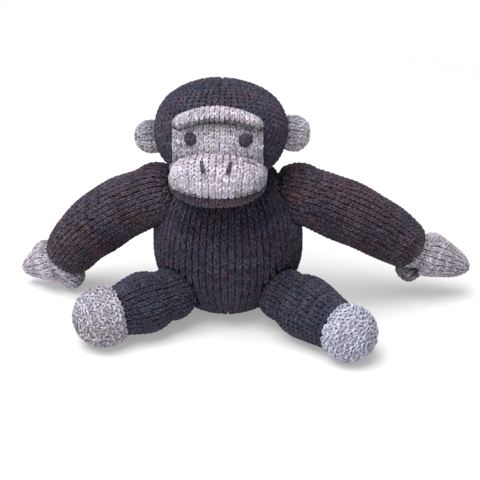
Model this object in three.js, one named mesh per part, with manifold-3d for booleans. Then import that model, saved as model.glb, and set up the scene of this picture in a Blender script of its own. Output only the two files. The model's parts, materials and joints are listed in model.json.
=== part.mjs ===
// A hand-knitted gorilla that sits: stuffed tubes of knitting sewn round a stuffed body.
// Millimetres, +Z up. The toy faces -Y, its own left is +X, and the origin is the middle of its seat.
import * as THREE from 'three';
import { mergeVertices } from 'three/addons/utils/BufferGeometryUtils.js';
import Module from 'manifold-3d';

const wasm = await Module();
wasm.setup();

// Yarn and fabric
const GAP = 0.3; // air between neighbouring pieces
const FABRIC = 3.2; // thickness of the knitted fabric
const SEAM_YARN = 2.2; // diameter of the sewing yarn round a limb
const KNOT = 9; // diameter of the knot that fastens a seam off

// Body
const BODY_WIDTH = 121;
const BODY_DEPTH = 103;
const BODY_HEIGHT = 134; // seat to crown, before the neck is hollowed out of it
const BODY_WIDEST = 56; // height of the widest row
const BODY_FULLNESS = 2.2; // power of the curve above the widest row
const SEAT_WIDTH = 40; // flat part that it sits on

// Neck and head
const NECK_BALL = 56; // rounded underside of the head, sewn into the body
const NECK_SINK = 12; // middle of the neck below the body's crown
const NECK_FORWARD = 4;
const NECK_ASIDE = -3;
const NECK_SEAM_DEPTH = 6; // the seam below the middle of the neck
const NECK_OPENING = 22; // hole that the stuffing went in by
const HEAD_WIDTH = 106;
const HEAD_DEPTH = 87;
const HEAD_HEIGHT = 75;
const HEAD_FULLNESS = 2.2;
const HEAD_FORWARD = 4; // middle of the head in front of the middle of the neck
const HEAD_ASIDE = -2;
const HEAD_TUCK = 2; // underside of the head below the middle of the neck
const HEAD_TURN = -3.5; // degrees, towards its own right
const HEAD_TURNS = 25; // degrees each way that the chin is cut clear for
const NOD_ROOM = 4.5; // between the head's underside and the body
const CHIN_ROOM = 3.6; // between the muzzle and the chest

// Face
const PANEL = 2.4; // how far the face panel stands out from the head
const PANEL_WIDTH = 71;
const PANEL_TOP = 26; // above the middle of the head
const PANEL_BOTTOM = -30;
const PANEL_CORNER = 14;
const BROW_SPAN = 72;
const BROW_THICK = 14;
const BROW_RISE = 26.5; // above the middle of the head
const BROW_DROOP = 10; // of its ends
const BROW_OUT = 3.5; // its middle in front of the head
const EYE_WIDTH = 10;
const EYE_HEIGHT = 12;
const EYE_BULGE = 3.4; // out of the panel
const EYE_SPACING = 42;
const EYE_RISE = 10;
const MUZZLE_WIDTH = 76;
const MUZZLE_DEPTH = 52;
const MUZZLE_HEIGHT = 43;
const MUZZLE_FULLNESS = 2.5;
const MUZZLE_SET = 6; // its middle behind the front of the head
const MUZZLE_DROP = 21; // its middle below the middle of the head
const MOUTH_DEPTH = 2; // crease drawn in round the front of the muzzle
const MOUTH_WIDTH = 6;
const MOUTH_DROP = 5.5; // crease below the middle of the muzzle
const NOSTRIL_LENGTH = 11;
const NOSTRIL_WIDTH = 3.2;
const NOSTRIL_SPACING = 19.5;
const NOSTRIL_RISE = 15.2; // above the middle of the muzzle
const NOSTRIL_LEAN = 14; // degrees
const EAR_HEIGHT = 30;
const EAR_REACH = 16.3; // out of the head
const EAR_SUNK = 10; // of its oval inside the head, which is cut away
const EAR_THICK = 9;
const EAR_EDGE = 2.6; // thickness along the sewn edge
const LEFT_EAR_DROP = 3; // below the middle of the head
const RIGHT_EAR_DROP = 8;
const EAR_BACK = 3; // behind the middle of the head
const EAR_GAP = 0.8; // lets the sewn edge turn

// Arms
const SHOULDER_HEIGHT = 97.5; // where the middle of the seam meets the body
const SHOULDER_OUT = 3.4; // middle of the ball outside the body's side
const SHOULDER_BACK = 2;
const SHOULDER_SEAM_DEPTH = 16; // the seam inward from the middle of the ball
const SHOULDER_SEAM_DIP = 12; // degrees that the seam faces down from the body's slope
const ARM_DROPS = 6; // degrees that the arm is cut clear for, below where it rests
const ARM_SWINGS = 25; // degrees that it is cut clear for, forwards and back
const ARM_BALL = 50; // rounded top, sewn into the body
const ARM_WIDTH = 52;
const ARM_FULLEST = 44; // along the arm
const ARM_LENGTH = 107.5; // middle of the ball to the cuff
const ARM_FOREARM = 46.5; // width at the forearm
const CUFF_RUN = 22; // forearm to cuff
const CUFF_WIDTH = 41;
const CUFF_TURN = 3.5; // length of the rounded edge
const LEFT_ARM_SWEEP = 5; // degrees, to the back
const LEFT_ARM_BEND = 17; // degrees over its length, downwards
const LEFT_WRIST_HEIGHT = 46;
const LEFT_HAND_LIFT = 14; // degrees out of line with the arm, upwards
const RIGHT_ARM_SWEEP = 15.6;
const RIGHT_ARM_BEND = 30;
const RIGHT_WRIST_HEIGHT = 31;
const RIGHT_HAND_LIFT = 29;
const WRIST_INSIDE = 0.5; // middle of the wrist inside the cuff
const WRIST_ROOM = 0.8; // round the hand inside the cuff
const LEFT_HAND_LENGTH = 55; // middle of the wrist to the finger tips
const RIGHT_HAND_LENGTH = 44;
const HAND_WIDTH = 37.5;
const HAND_PALM = 17; // where it is widest
const HAND_FINGERS = 25; // width near the tips
const HAND_TIP = 14; // length of the rounded tip
const HAND_THICK = 18; // thickness at the tips, where it is flat
const THUMB_REACH = 27; // from the middle of the hand
const THUMB_WIDTH = 21;
const THUMB_CLEAR = 1.5; // beyond the cuff's edge
const LEFT_THUMB_TURN = 18; // degrees back towards the arm
const RIGHT_THUMB_TURN = 30;

// Legs
const HIP_ANGLE = 50; // degrees from straight ahead
const HIP_OUT = 5; // middle of the ball outside the body
const HIP_SEAM_DEPTH = 15;
const HIP_SEAM_RISE = 14; // degrees that the seam faces up from the body's slope
const LEG_LIFTS = 32; // degrees that the leg is cut clear for, upwards
const LEG_SPREADS = 22; // degrees that it is cut clear for, to either side
const LEG_BALL = 43;
const LEG_WIDTH = 51;
const LEG_FULLEST = 24; // along the leg
const LEFT_LEG_LENGTH = 67; // middle of the ball to the middle of the foot
const RIGHT_LEG_LENGTH = 58;
const LEG_OFF_FLOOR = 2.5;
const LEFT_LEG_ANGLE = 44.5; // degrees from straight ahead
const RIGHT_LEG_ANGLE = 63;
const ANKLE_WIDTH = 39;
const ANKLE_BACK = 11; // edge of the foot behind its middle
const LEFT_FOOT_WIDTH = 44.5;
const RIGHT_FOOT_WIDTH = 48;
const FOOT_FLAT = 0.5; // pressed flat on the floor

const LIMB_ROOM = 1.2; // between a limb and the body beside its dish

// Where a limb's outline leaves its ball, in degrees round from the limb's axis
const LIMB_LEAVES = 72; // drawn in by the seam
const HAND_LEAVES = 58;

// Counts of sides and rows: what shows, and what is inside
const BODY_SIDES = 26;
const BODY_ROWS = 8;
const BROW_SIDES = 10;
const BROW_ROWS = 18;
const EAR_SIDES = 16;
const EAR_ROWS = 12;
const HEAD_SIDES = 24;
const HEAD_ROWS = 15;
const MUZZLE_SIDES = 20;
const MUZZLE_ROWS = 17;
const LIMB_SIDES = 16;
const SOCKET_SIDES = 14;
const INSIDE_SIDES = 10;
const BODY_INSIDE_SIDES = 16;
const INSIDE_ROWS = 5;
const RING_SIDES = 18;
const YARN_SIDES = 5;

// Colours
const DARK_TWEED = '#34303c';
const PALE_MARL = '#aaa2ac';
const FIBRE = '#ece8df';
const EYE_YARN = '#3b353b';

const UP = new THREE.Vector3(0, 0, 1);
const radians = THREE.MathUtils.degToRad;

// A geometry as a solid that can be cut and joined.
function solidOf(geometry) {
  const bare = geometry.clone();
  bare.deleteAttribute('normal');
  bare.deleteAttribute('uv');
  const merged = mergeVertices(bare, 1e-4);
  const triVerts = [];
  for (let i = 0; i < merged.index.count; i += 3) {
    const [a, b, c] = [0, 1, 2].map((k) => merged.index.getX(i + k));
    if (a !== b && b !== c && c !== a) {
      triVerts.push(a, b, c);
    }
  }
  return new wasm.Manifold(new wasm.Mesh({
    numProp: 3,
    vertProperties: merged.attributes.position.array,
    triVerts: new Uint32Array(triVerts),
  }));
}

// A solid as a geometry.
function geometryOf(solid) {
  const mesh = solid.getMesh();
  const geometry = new THREE.BufferGeometry();
  geometry.setAttribute('position', new THREE.BufferAttribute(mesh.vertProperties, 3));
  geometry.setIndex(new THREE.BufferAttribute(mesh.triVerts, 1));
  geometry.computeVertexNormals();
  return geometry;
}

// A named mesh with a yarn finish of its own.
function piece(name, shape, colour, group) {
  const geometry = shape.isBufferGeometry ? shape : geometryOf(shape);
  const material = new THREE.MeshStandardMaterial({ color: colour, roughness: 0.95, metalness: 0 });
  const mesh = new THREE.Mesh(geometry, material);
  mesh.name = name;
  group.add(mesh);
  return mesh;
}

// Moves every vertex of a geometry.
function shaped(geometry, move) {
  const places = geometry.attributes.position;
  const v = new THREE.Vector3();
  for (let i = 0; i < places.count; i += 1) {
    v.fromBufferAttribute(places, i);
    move(v);
    places.setXYZ(i, v.x, v.y, v.z);
  }
  return geometry;
}

function ball(middle, radius, sides = SOCKET_SIDES) {
  const geometry = new THREE.SphereGeometry(radius, sides, Math.round(sides * 0.6));
  return solidOf(geometry.translate(middle.x, middle.y, middle.z));
}

// A ball for cutting with: its flats, and not its corners, lie at the radius.
function hollowBall(middle, radius, sides = SOCKET_SIDES) {
  const rows = Math.round(sides * 0.6);
  return ball(middle, radius / Math.cos(Math.PI / sides) / Math.cos(Math.PI / rows / 2), sides);
}

// A sphere swollen towards a box: power 2 is an ellipsoid.
function swollen(halfX, halfY, halfZ, power, sides, rows) {
  const half = new THREE.Vector3(halfX, halfY, halfZ);
  const sphere = new THREE.SphereGeometry(1, sides, rows).rotateX(Math.PI / 2);
  return shaped(sphere, (v) => {
    const sum = Math.abs(v.x) ** power + Math.abs(v.y) ** power + Math.abs(v.z) ** power;
    v.multiplyScalar(sum ** (-1 / power)).multiply(half);
  });
}

// Distance of a swollen form's surface from its middle plane, for shares u and v of its other halves.
function bulge(half, power, u, v) {
  const left = 1 - Math.abs(u) ** power - Math.abs(v) ** power;
  return half * Math.max(left, 0) ** (1 / power);
}

// Body
const bodyHalf = BODY_WIDTH / 2;
const bodyDrop = BODY_WIDEST / Math.sqrt(1 - (SEAT_WIDTH / BODY_WIDTH) ** 2);

// Half width of the body at a height.
function bodyAt(z) {
  const above = z > BODY_WIDEST;
  const share = above
    ? ((z - BODY_WIDEST) / (BODY_HEIGHT - BODY_WIDEST)) ** BODY_FULLNESS
    : ((BODY_WIDEST - z) / bodyDrop) ** 2;
  return bodyHalf * Math.sqrt(1 - share);
}

// The body's egg, its surface moved in by inset.
function bodyForm(inset, sides = BODY_SIDES, rows = BODY_ROWS) {
  const half = bodyHalf - inset;
  const drop = bodyDrop - inset;
  const rise = BODY_HEIGHT - BODY_WIDEST - inset;
  const seat = Math.asin((BODY_WIDEST - inset) / drop);
  const outline = [new THREE.Vector2(0, inset)];
  for (let i = 0; i < rows; i += 1) {
    const angle = seat * (1 - i / rows);
    outline.push(new THREE.Vector2(half * Math.cos(angle), BODY_WIDEST - drop * Math.sin(angle)));
  }
  for (let i = 0; i < rows; i += 1) {
    const angle = (Math.PI / 2) * (i / rows);
    const share = Math.sin(angle) ** (2 / BODY_FULLNESS);
    outline.push(new THREE.Vector2(half * Math.cos(angle), BODY_WIDEST + rise * share));
  }
  outline.push(new THREE.Vector2(0, BODY_WIDEST + rise));
  const egg = new THREE.LatheGeometry(outline, sides).rotateX(Math.PI / 2);
  return solidOf(egg.scale(1, (BODY_DEPTH / 2 - inset) / half, 1));
}

// Sockets: each limb, and the head, ends in a ball that is sewn into a dish of the body
function socket(name, middle, outward, width, seamDepth, seamRise) {
  const dish = width / 2 + SEAM_YARN + 2 * GAP;
  const across = UP.clone().cross(outward).normalize();
  const facing = outward.clone().applyAxisAngle(across, -radians(seamRise));
  return { name, middle, outward, facing, width, seamDepth, dish };
}

// The ring of sewing yarn between a ball and its hollow.
function seamRing(place) {
  const reach = place.width / 2 + GAP + SEAM_YARN / 2;
  const radius = Math.sqrt(reach ** 2 - place.seamDepth ** 2);
  const ring = new THREE.TorusGeometry(radius, SEAM_YARN / 2, YARN_SIDES, RING_SIDES);
  const turn = new THREE.Quaternion().setFromUnitVectors(UP, place.facing);
  const middle = place.middle.clone().addScaledVector(place.facing, -place.seamDepth);
  return ring.applyQuaternion(turn).translate(middle.x, middle.y, middle.z);
}

const neck = socket(
  'neck',
  new THREE.Vector3(NECK_ASIDE, -NECK_FORWARD, BODY_HEIGHT - NECK_SINK),
  UP,
  NECK_BALL,
  NECK_SEAM_DEPTH,
  0,
);

// The body's surface at a height and an angle round from straight ahead, and the way it faces there.
function onBody(height, round) {
  const half = bodyAt(height);
  const depth = (half * BODY_DEPTH) / BODY_WIDTH;
  const place = new THREE.Vector3(half * Math.sin(round), -depth * Math.cos(round), height);
  const slope = bodyAt(height - 0.5) - bodyAt(height + 0.5);
  const outward = new THREE.Vector3(place.x / half ** 2, place.y / depth ** 2, 0).normalize();
  outward.z = slope;
  return { place, outward: outward.normalize() };
}

function shoulder(name, side) {
  const { place, outward } = onBody(SHOULDER_HEIGHT, (side * Math.PI) / 2);
  const middle = place.addScaledVector(outward, SHOULDER_OUT);
  middle.y += SHOULDER_BACK;
  return socket(name, middle, outward, ARM_BALL, SHOULDER_SEAM_DEPTH, -SHOULDER_SEAM_DIP);
}

function hip(name, side) {
  const { place, outward } = onBody(LEG_WIDTH / 2 + LEG_OFF_FLOOR, side * radians(HIP_ANGLE));
  const level = outward.clone().setZ(0).normalize();
  const middle = place.addScaledVector(level, HIP_OUT);
  return socket(name, middle, outward, LEG_BALL, HIP_SEAM_DEPTH, HIP_SEAM_RISE);
}

const sockets = {
  neck,
  leftShoulder: shoulder('left_shoulder', 1),
  rightShoulder: shoulder('right_shoulder', -1),
  leftHip: hip('left_hip', 1),
  rightHip: hip('right_hip', -1),
};

const gorilla = new THREE.Group();
gorilla.name = 'knitted_gorilla';

function buildBody() {
  const places = Object.values(sockets);
  let cover = bodyForm(0);
  let hollow = bodyForm(FABRIC, BODY_INSIDE_SIDES, INSIDE_ROWS);
  let filling = bodyForm(FABRIC + GAP, BODY_INSIDE_SIDES, INSIDE_ROWS);
  for (const place of places) {
    cover = cover.subtract(hollowBall(place.middle, place.dish));
    hollow = hollow.subtract(hollowBall(place.middle, place.dish + 1.5 * FABRIC, INSIDE_SIDES));
    filling = filling.subtract(hollowBall(place.middle, place.dish + 1.5 * FABRIC + GAP, INSIDE_SIDES));
    piece(`${place.name}_seam`, seamRing(place), DARK_TWEED, gorilla);
  }
  const opening = new THREE.CylinderGeometry(NECK_OPENING / 2, NECK_OPENING / 2, NECK_BALL, 16);
  opening.rotateX(Math.PI / 2);
  opening.translate(neck.middle.x, neck.middle.y, neck.middle.z - NECK_BALL / 2);
  cover = cover.subtract(hollow).subtract(solidOf(opening));
  piece('body_cover', cover, DARK_TWEED, gorilla);
  piece('body_stuffing', filling, FIBRE, gorilla);
}

// Head: its group turns about the middle of the neck
const head = new THREE.Group();
head.position.copy(neck.middle);
head.rotation.z = radians(HEAD_TURN);
gorilla.add(head);
head.updateMatrixWorld(true);

const headMiddle = new THREE.Vector3(HEAD_ASIDE, -HEAD_FORWARD, HEAD_HEIGHT / 2 - HEAD_TUCK);
const origin = new THREE.Vector3();

function headForm(inset, sides = HEAD_SIDES, rows = HEAD_ROWS) {
  const form = swollen(
    HEAD_WIDTH / 2 - inset,
    HEAD_DEPTH / 2 - inset,
    HEAD_HEIGHT / 2 - inset,
    HEAD_FULLNESS,
    sides,
    rows,
  );
  return solidOf(form.translate(headMiddle.x, headMiddle.y, headMiddle.z));
}

// The body as the head sees it, for cutting the head's pieces clear of it.
function bodyFromHead(room) {
  const body = geometryOf(bodyForm(-room, BODY_INSIDE_SIDES, INSIDE_ROWS));
  return solidOf(body.applyMatrix4(head.matrixWorld.clone().invert()));
}

// The same, wherever the head is turned to.
function bodyRoundHead(room) {
  const body = geometryOf(bodyFromHead(room));
  const turned = [-HEAD_TURNS, 0, HEAD_TURNS].map((turn) => solidOf(body.clone().rotateZ(radians(turn))));
  return turned.reduce((sum, one) => sum.add(one));
}

// Front of the head at a place across it and above its middle.
function headFront(x, z) {
  const depth = bulge(HEAD_DEPTH / 2, HEAD_FULLNESS, x / (HEAD_WIDTH / 2), z / (HEAD_HEIGHT / 2));
  return new THREE.Vector3(headMiddle.x + x, headMiddle.y - depth, headMiddle.z + z);
}

function buildHead() {
  const outer = headForm(0).subtract(bodyFromHead(NOD_ROOM)).add(ball(origin, NECK_BALL / 2));
  const inner = headForm(FABRIC, 16, 9).subtract(bodyFromHead(NOD_ROOM + FABRIC));
  const hollow = inner.add(ball(origin, NECK_BALL / 2 - FABRIC, INSIDE_SIDES));
  const packed = headForm(FABRIC + GAP, 16, 9).subtract(bodyFromHead(NOD_ROOM + FABRIC + GAP));
  const filling = packed.add(ball(origin, NECK_BALL / 2 - FABRIC - GAP, INSIDE_SIDES));
  const opening = new THREE.CylinderGeometry(NECK_OPENING / 2, NECK_OPENING / 2, NECK_BALL, 16);
  opening.rotateX(Math.PI / 2);
  opening.translate(0, 0, -NECK_BALL / 2);
  piece('head_cover', outer.subtract(hollow).subtract(solidOf(opening)), DARK_TWEED, head);
  const pit = new THREE.CylinderGeometry(KNOT / 2 + GAP, KNOT / 2 + GAP, NECK_BALL, 12);
  pit.rotateX(Math.PI / 2);
  pit.translate(0, 0, KNOT / 2 + GAP - NECK_BALL / 2);
  piece('head_stuffing', filling.subtract(solidOf(pit)), FIBRE, head);
  piece('neck_knot', new THREE.SphereGeometry(KNOT / 2, 8, 6), DARK_TWEED, head);
}

function buildFacePanel() {
  const half = PANEL_WIDTH / 2;
  const corner = PANEL_CORNER;
  const edge = new THREE.Shape();
  edge.moveTo(-half + corner, PANEL_BOTTOM);
  edge.lineTo(half - corner, PANEL_BOTTOM);
  edge.absarc(half - corner, PANEL_BOTTOM + corner, corner, -Math.PI / 2, 0);
  edge.absarc(half - corner, PANEL_TOP - corner, corner, 0, Math.PI / 2);
  edge.absarc(-half + corner, PANEL_TOP - corner, corner, Math.PI / 2, Math.PI);
  edge.absarc(-half + corner, PANEL_BOTTOM + corner, corner, Math.PI, Math.PI * 1.5);
  const deep = { depth: HEAD_DEPTH, bevelEnabled: false, curveSegments: 5 };
  const block = new THREE.ExtrudeGeometry(edge, deep);
  block.rotateX(Math.PI / 2).translate(headMiddle.x, headMiddle.y, headMiddle.z);
  const skin = headForm(-PANEL).subtract(headForm(-GAP));
  const panel = skin.intersect(solidOf(block)).subtract(hollowBall(origin, NECK_BALL / 2 + GAP));
  piece('face_panel', panel, PALE_MARL, head);
}

const onPanel = headForm(-PANEL - GAP);

function buildBrow() {
  const half = BROW_SPAN / 2;
  const roll = swollen(BROW_THICK / 2, BROW_THICK / 2, half, 3, BROW_SIDES, BROW_ROWS).rotateY(Math.PI / 2);
  shaped(roll, (v) => {
    const rise = BROW_RISE - BROW_DROOP * (v.x / half) ** 2;
    const on = headFront(v.x, rise);
    v.set(on.x, on.y - BROW_OUT + v.y, on.z + v.z);
  });
  piece('brow_ridge', solidOf(roll).subtract(onPanel), PALE_MARL, head);
}

function buildEye(name, side) {
  const on = headFront((side * EYE_SPACING) / 2, EYE_RISE);
  const bulgeDepth = PANEL + GAP + EYE_BULGE;
  const bead = swollen(EYE_WIDTH / 2, bulgeDepth, EYE_HEIGHT / 2, 2.2, 12, 8);
  piece(name, solidOf(bead.translate(on.x, on.y, on.z)).subtract(onPanel), EYE_YARN, head);
}

// Muzzle
const muzzleMiddle = new THREE.Vector3(
  headMiddle.x,
  headMiddle.y - HEAD_DEPTH / 2 + MUZZLE_SET,
  headMiddle.z - MUZZLE_DROP,
);

function muzzleForm(inset, sides = MUZZLE_SIDES, rows = MUZZLE_ROWS) {
  const form = swollen(
    MUZZLE_WIDTH / 2 - inset,
    MUZZLE_DEPTH / 2 - inset,
    MUZZLE_HEIGHT / 2 - inset,
    MUZZLE_FULLNESS,
    sides,
    rows,
  );
  shaped(form, (v) => {
    const crease = MOUTH_DEPTH * Math.exp(-(((v.z + MOUTH_DROP) / (MOUTH_WIDTH / 2)) ** 2));
    const reach = Math.hypot(v.x, v.y);
    const drawn = reach > 0 ? 1 - (crease * Math.min(reach / (MUZZLE_DEPTH / 2), 1)) / reach : 1;
    v.set(v.x * drawn, v.y * drawn, v.z);
  });
  return solidOf(form.translate(muzzleMiddle.x, muzzleMiddle.y, muzzleMiddle.z));
}

// Front of the muzzle at a place across it and above its middle.
function muzzleFront(x, z) {
  const u = x / (MUZZLE_WIDTH / 2);
  const v = z / (MUZZLE_HEIGHT / 2);
  const depth = bulge(MUZZLE_DEPTH / 2, MUZZLE_FULLNESS, u, v);
  return new THREE.Vector3(muzzleMiddle.x + x, muzzleMiddle.y - depth, muzzleMiddle.z + z);
}

function buildMuzzle() {
  const behind = onPanel.add(hollowBall(origin, NECK_BALL / 2 + GAP));
  const skin = muzzleForm(0).subtract(muzzleForm(FABRIC, 14, 8));
  piece('muzzle_cover', skin.subtract(behind).subtract(bodyRoundHead(CHIN_ROOM)), PALE_MARL, head);
  const packed = muzzleForm(FABRIC + GAP, 14, 8).subtract(behind);
  piece('muzzle_stuffing', packed.subtract(bodyRoundHead(CHIN_ROOM + FABRIC)), FIBRE, head);
}

function buildNostril(name, side) {
  const lean = radians(NOSTRIL_LEAN);
  const run = (NOSTRIL_LENGTH / 2) * Math.cos(lean);
  const across = (NOSTRIL_LENGTH / 2) * Math.sin(lean);
  const middle = (side * NOSTRIL_SPACING) / 2;
  const upper = muzzleFront(middle + side * across, NOSTRIL_RISE + run * 0.5);
  const lower = muzzleFront(middle - side * across, NOSTRIL_RISE - run * 0.5);
  const along = upper.clone().sub(lower);
  const stitch = swollen(NOSTRIL_WIDTH / 2, NOSTRIL_WIDTH / 2, NOSTRIL_LENGTH / 2, 2.4, 6, 6);
  stitch.applyQuaternion(new THREE.Quaternion().setFromUnitVectors(UP, along.normalize()));
  const place = upper.add(lower).multiplyScalar(0.5);
  const solid = solidOf(stitch.translate(place.x, place.y, place.z)).subtract(muzzleForm(-GAP));
  piece(name, solid, EYE_YARN, head);
}

// Ears: flat half-rounds that taper to the edge they are sewn by
function buildEar(name, side, drop) {
  const back = EAR_BACK / (HEAD_DEPTH / 2);
  const earOut = bulge(HEAD_WIDTH / 2, HEAD_FULLNESS, back, drop / (HEAD_HEIGHT / 2));
  const half = (EAR_REACH + EAR_SUNK) / 2;
  const disc = swollen(half, EAR_THICK / 2, EAR_HEIGHT / 2, 2.1, EAR_SIDES, EAR_ROWS);
  shaped(disc, (v) => {
    v.x += half - EAR_SUNK;
    const out = THREE.MathUtils.clamp((v.x / EAR_REACH) * 2, 0, 1);
    v.y *= THREE.MathUtils.lerp(EAR_EDGE / EAR_THICK, 1, out);
    v.x *= side;
  });
  if (side < 0) {
    const index = disc.index;
    for (let i = 0; i < index.count; i += 3) {
      const kept = index.getX(i);
      index.setX(i, index.getX(i + 1));
      index.setX(i + 1, kept);
    }
  }
  disc.translate(headMiddle.x + side * earOut, headMiddle.y + EAR_BACK, headMiddle.z - drop);
  piece(name, solidOf(disc).subtract(headForm(-EAR_GAP)), PALE_MARL, head);
}

// Limbs are turned about +Y of their own group, from the ball at its origin

// Outline of a limb: the ball's back, then a curve through stations of distance along and width.
function limbOutline(width, stations, inset, arcSteps, runSteps, leaves = LIMB_LEAVES) {
  const radius = width / 2 - inset;
  const leave = radians(leaves);
  const arc = [];
  for (let i = 0; i <= arcSteps; i += 1) {
    const angle = Math.PI - ((Math.PI - leave) * i) / arcSteps;
    arc.push(new THREE.Vector2(i === 0 ? 0 : radius * Math.sin(angle), radius * Math.cos(angle)));
  }
  const knots = stations.map(([along, wide]) => new THREE.Vector2(Math.max(wide / 2 - inset, 0), along));
  const run = new THREE.SplineCurve([arc.pop(), ...knots]);
  return [...arc, ...run.getPoints(runSteps)];
}

// Outline of a limb's stuffing: as the limb's, with a pit in the ball for the knot.
function stuffingOutline(width, stations, arcSteps, runSteps) {
  const pit = KNOT / 2 + GAP;
  const [pole, next, ...rest] = limbOutline(width, stations, FABRIC + GAP, arcSteps, runSteps);
  const mouth = pole.clone().lerp(next, pit / next.x);
  return [new THREE.Vector2(0, pit), new THREE.Vector2(pit, pit), mouth, next, ...rest];
}

// Bends a limb towards its +X, evenly over a length from its origin.
function bent(geometry, length, angle) {
  const rate = angle / length;
  return shaped(geometry, (v) => {
    const along = THREE.MathUtils.clamp(v.y, 0, length);
    const turn = rate * along;
    const beyond = v.y - along;
    const spineX = rate === 0 ? 0 : (1 - Math.cos(turn)) / rate;
    const spineY = rate === 0 ? along : Math.sin(turn) / rate;
    const x = spineX + v.x * Math.cos(turn) + beyond * Math.sin(turn);
    const y = spineY - v.x * Math.sin(turn) + beyond * Math.cos(turn);
    v.set(x, y, v.z);
  });
}

// A group at a place, with its +Y along one direction and its +X as near another as can be.
function limbGroup(middle, along, towards) {
  const y = along.clone().normalize();
  const z = towards.clone().cross(y).normalize();
  const x = y.clone().cross(z);
  const group = new THREE.Group();
  group.position.copy(middle);
  group.quaternion.setFromRotationMatrix(new THREE.Matrix4().makeBasis(x, y, z));
  gorilla.add(group);
  group.updateMatrixWorld(true);
  return group;
}

// Cuts a limb's solid clear of the body, outside the dish that its ball sits in.
// Each pose is how far the limb is raised and then swung about an axis, in degrees.
function clearOfBody(solid, place, group, axis, poses) {
  const body = bodyForm(-LIMB_ROOM).subtract(ball(place.middle, place.dish - GAP));
  const toLimb = group.matrixWorld.clone().invert();
  const seen = geometryOf(body).applyMatrix4(toLimb);
  const about = axis.clone().transformDirection(toLimb);
  return poses.reduce((left, [raised, swung]) => {
    const swing = new THREE.Quaternion().setFromAxisAngle(about, -radians(swung));
    return left.subtract(solidOf(seen.clone().applyQuaternion(swing).rotateZ(-radians(raised))));
  }, solid);
}

function knotIn(place, group) {
  piece(`${place.name}_knot`, new THREE.SphereGeometry(KNOT / 2, 8, 6), DARK_TWEED, group);
}

function buildArm(side, place, sweep, bend, wristHeight, handLift, handLength, thumbTurn) {
  const sign = Math.sign(place.outward.x);
  const turn = radians(bend);
  const chord = (ARM_LENGTH * Math.sin(turn / 2)) / (turn / 2);
  const droop = Math.asin((place.middle.z - wristHeight) / chord) - turn / 2;
  const level = new THREE.Vector3(sign * Math.cos(radians(sweep)), Math.sin(radians(sweep)), 0);
  const along = level.clone().multiplyScalar(Math.cos(droop)).addScaledVector(UP, -Math.sin(droop));
  const arm = limbGroup(place.middle, along, UP.clone().negate());
  const cuffEdge = ARM_LENGTH;
  const forearm = ARM_LENGTH - CUFF_RUN;
  const handBall = CUFF_WIDTH / 2 - FABRIC - WRIST_ROOM;
  const wrist = ARM_LENGTH - WRIST_INSIDE;
  const outer = limbOutline(
    ARM_BALL,
    [
      [ARM_FULLEST, ARM_WIDTH],
      [forearm, ARM_FOREARM],
      [cuffEdge - CUFF_TURN, CUFF_WIDTH],
      [cuffEdge, CUFF_WIDTH - FABRIC],
    ],
    0,
    5,
    10,
  );
  const inside = [[ARM_FULLEST, ARM_WIDTH], [forearm - CUFF_TURN, CUFF_WIDTH + FABRIC]];
  const inner = limbOutline(ARM_BALL, inside, FABRIC, 4, 5);
  inner.push(new THREE.Vector2(CUFF_WIDTH / 2 - FABRIC, wrist - handBall));
  inner.push(new THREE.Vector2(CUFF_WIDTH / 2 - FABRIC, cuffEdge));
  const shell = new THREE.LatheGeometry([...outer, ...inner.reverse()], LIMB_SIDES);
  const swings = [-ARM_SWINGS, -ARM_SWINGS / 2, 0, ARM_SWINGS / 2, ARM_SWINGS];
  const poses = [[0, 0], ...swings.map((swing) => [-ARM_DROPS, swing])];
  const cover = clearOfBody(solidOf(bent(shell, ARM_LENGTH, turn)), place, arm, place.outward, poses);
  piece(`${side}_arm_cover`, cover, DARK_TWEED, arm);
  const end = wrist - handBall - GAP;
  const packed = stuffingOutline(ARM_BALL, inside, 4, 5);
  packed.push(new THREE.Vector2(handBall - GAP, end));
  packed.push(new THREE.Vector2(0, end));
  const stuffing = new THREE.LatheGeometry(packed, LIMB_SIDES);
  piece(`${side}_arm_stuffing`, solidOf(bent(stuffing, ARM_LENGTH, turn)), FIBRE, arm);
  knotIn(place, arm);
  const hand = buildHand(side, handLength, handBall, thumbTurn);
  const at = new THREE.BufferGeometry().setFromPoints([new THREE.Vector3(0, wrist, 0)]);
  bent(at, ARM_LENGTH, turn);
  hand.position.fromBufferAttribute(at.attributes.position, 0);
  hand.rotation.z = radians(handLift) - (turn * wrist) / ARM_LENGTH;
  arm.add(hand);
}

function buildHand(side, length, handBall, thumbTurn) {
  const hand = new THREE.Group();
  const tip = length - HAND_TIP;
  const stations = [[HAND_PALM, HAND_WIDTH], [tip, HAND_FINGERS], [length - HAND_TIP / 4, HAND_FINGERS / 2]];
  const outline = limbOutline(handBall * 2, stations, 0, 4, 8, HAND_LEAVES);
  outline.push(new THREE.Vector2(0, length));
  const flatten = (v) => {
    const out = THREE.MathUtils.smoothstep(v.y, handBall / 2, tip);
    v.z *= THREE.MathUtils.lerp(1, HAND_THICK / HAND_FINGERS, out);
  };
  const mitt = shaped(new THREE.LatheGeometry(outline, LIMB_SIDES), flatten);
  piece(`${side}_hand`, solidOf(mitt), PALE_MARL, hand);
  const roomy = limbOutline(handBall * 2, stations, -GAP, 4, 8, HAND_LEAVES);
  roomy.push(new THREE.Vector2(0, length + GAP));
  const round = shaped(new THREE.LatheGeometry(roomy, LIMB_SIDES), flatten);
  const nub = swollen(THUMB_REACH / 2, THUMB_WIDTH / 2, THUMB_WIDTH / 2, 2.4, 10, 8);
  nub.translate(THUMB_REACH / 2, WRIST_INSIDE + THUMB_CLEAR + THUMB_WIDTH / 2, 0);
  nub.rotateZ(-radians(thumbTurn));
  piece(`${side}_thumb`, solidOf(nub).subtract(solidOf(round)), PALE_MARL, hand);
  return hand;
}

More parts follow.
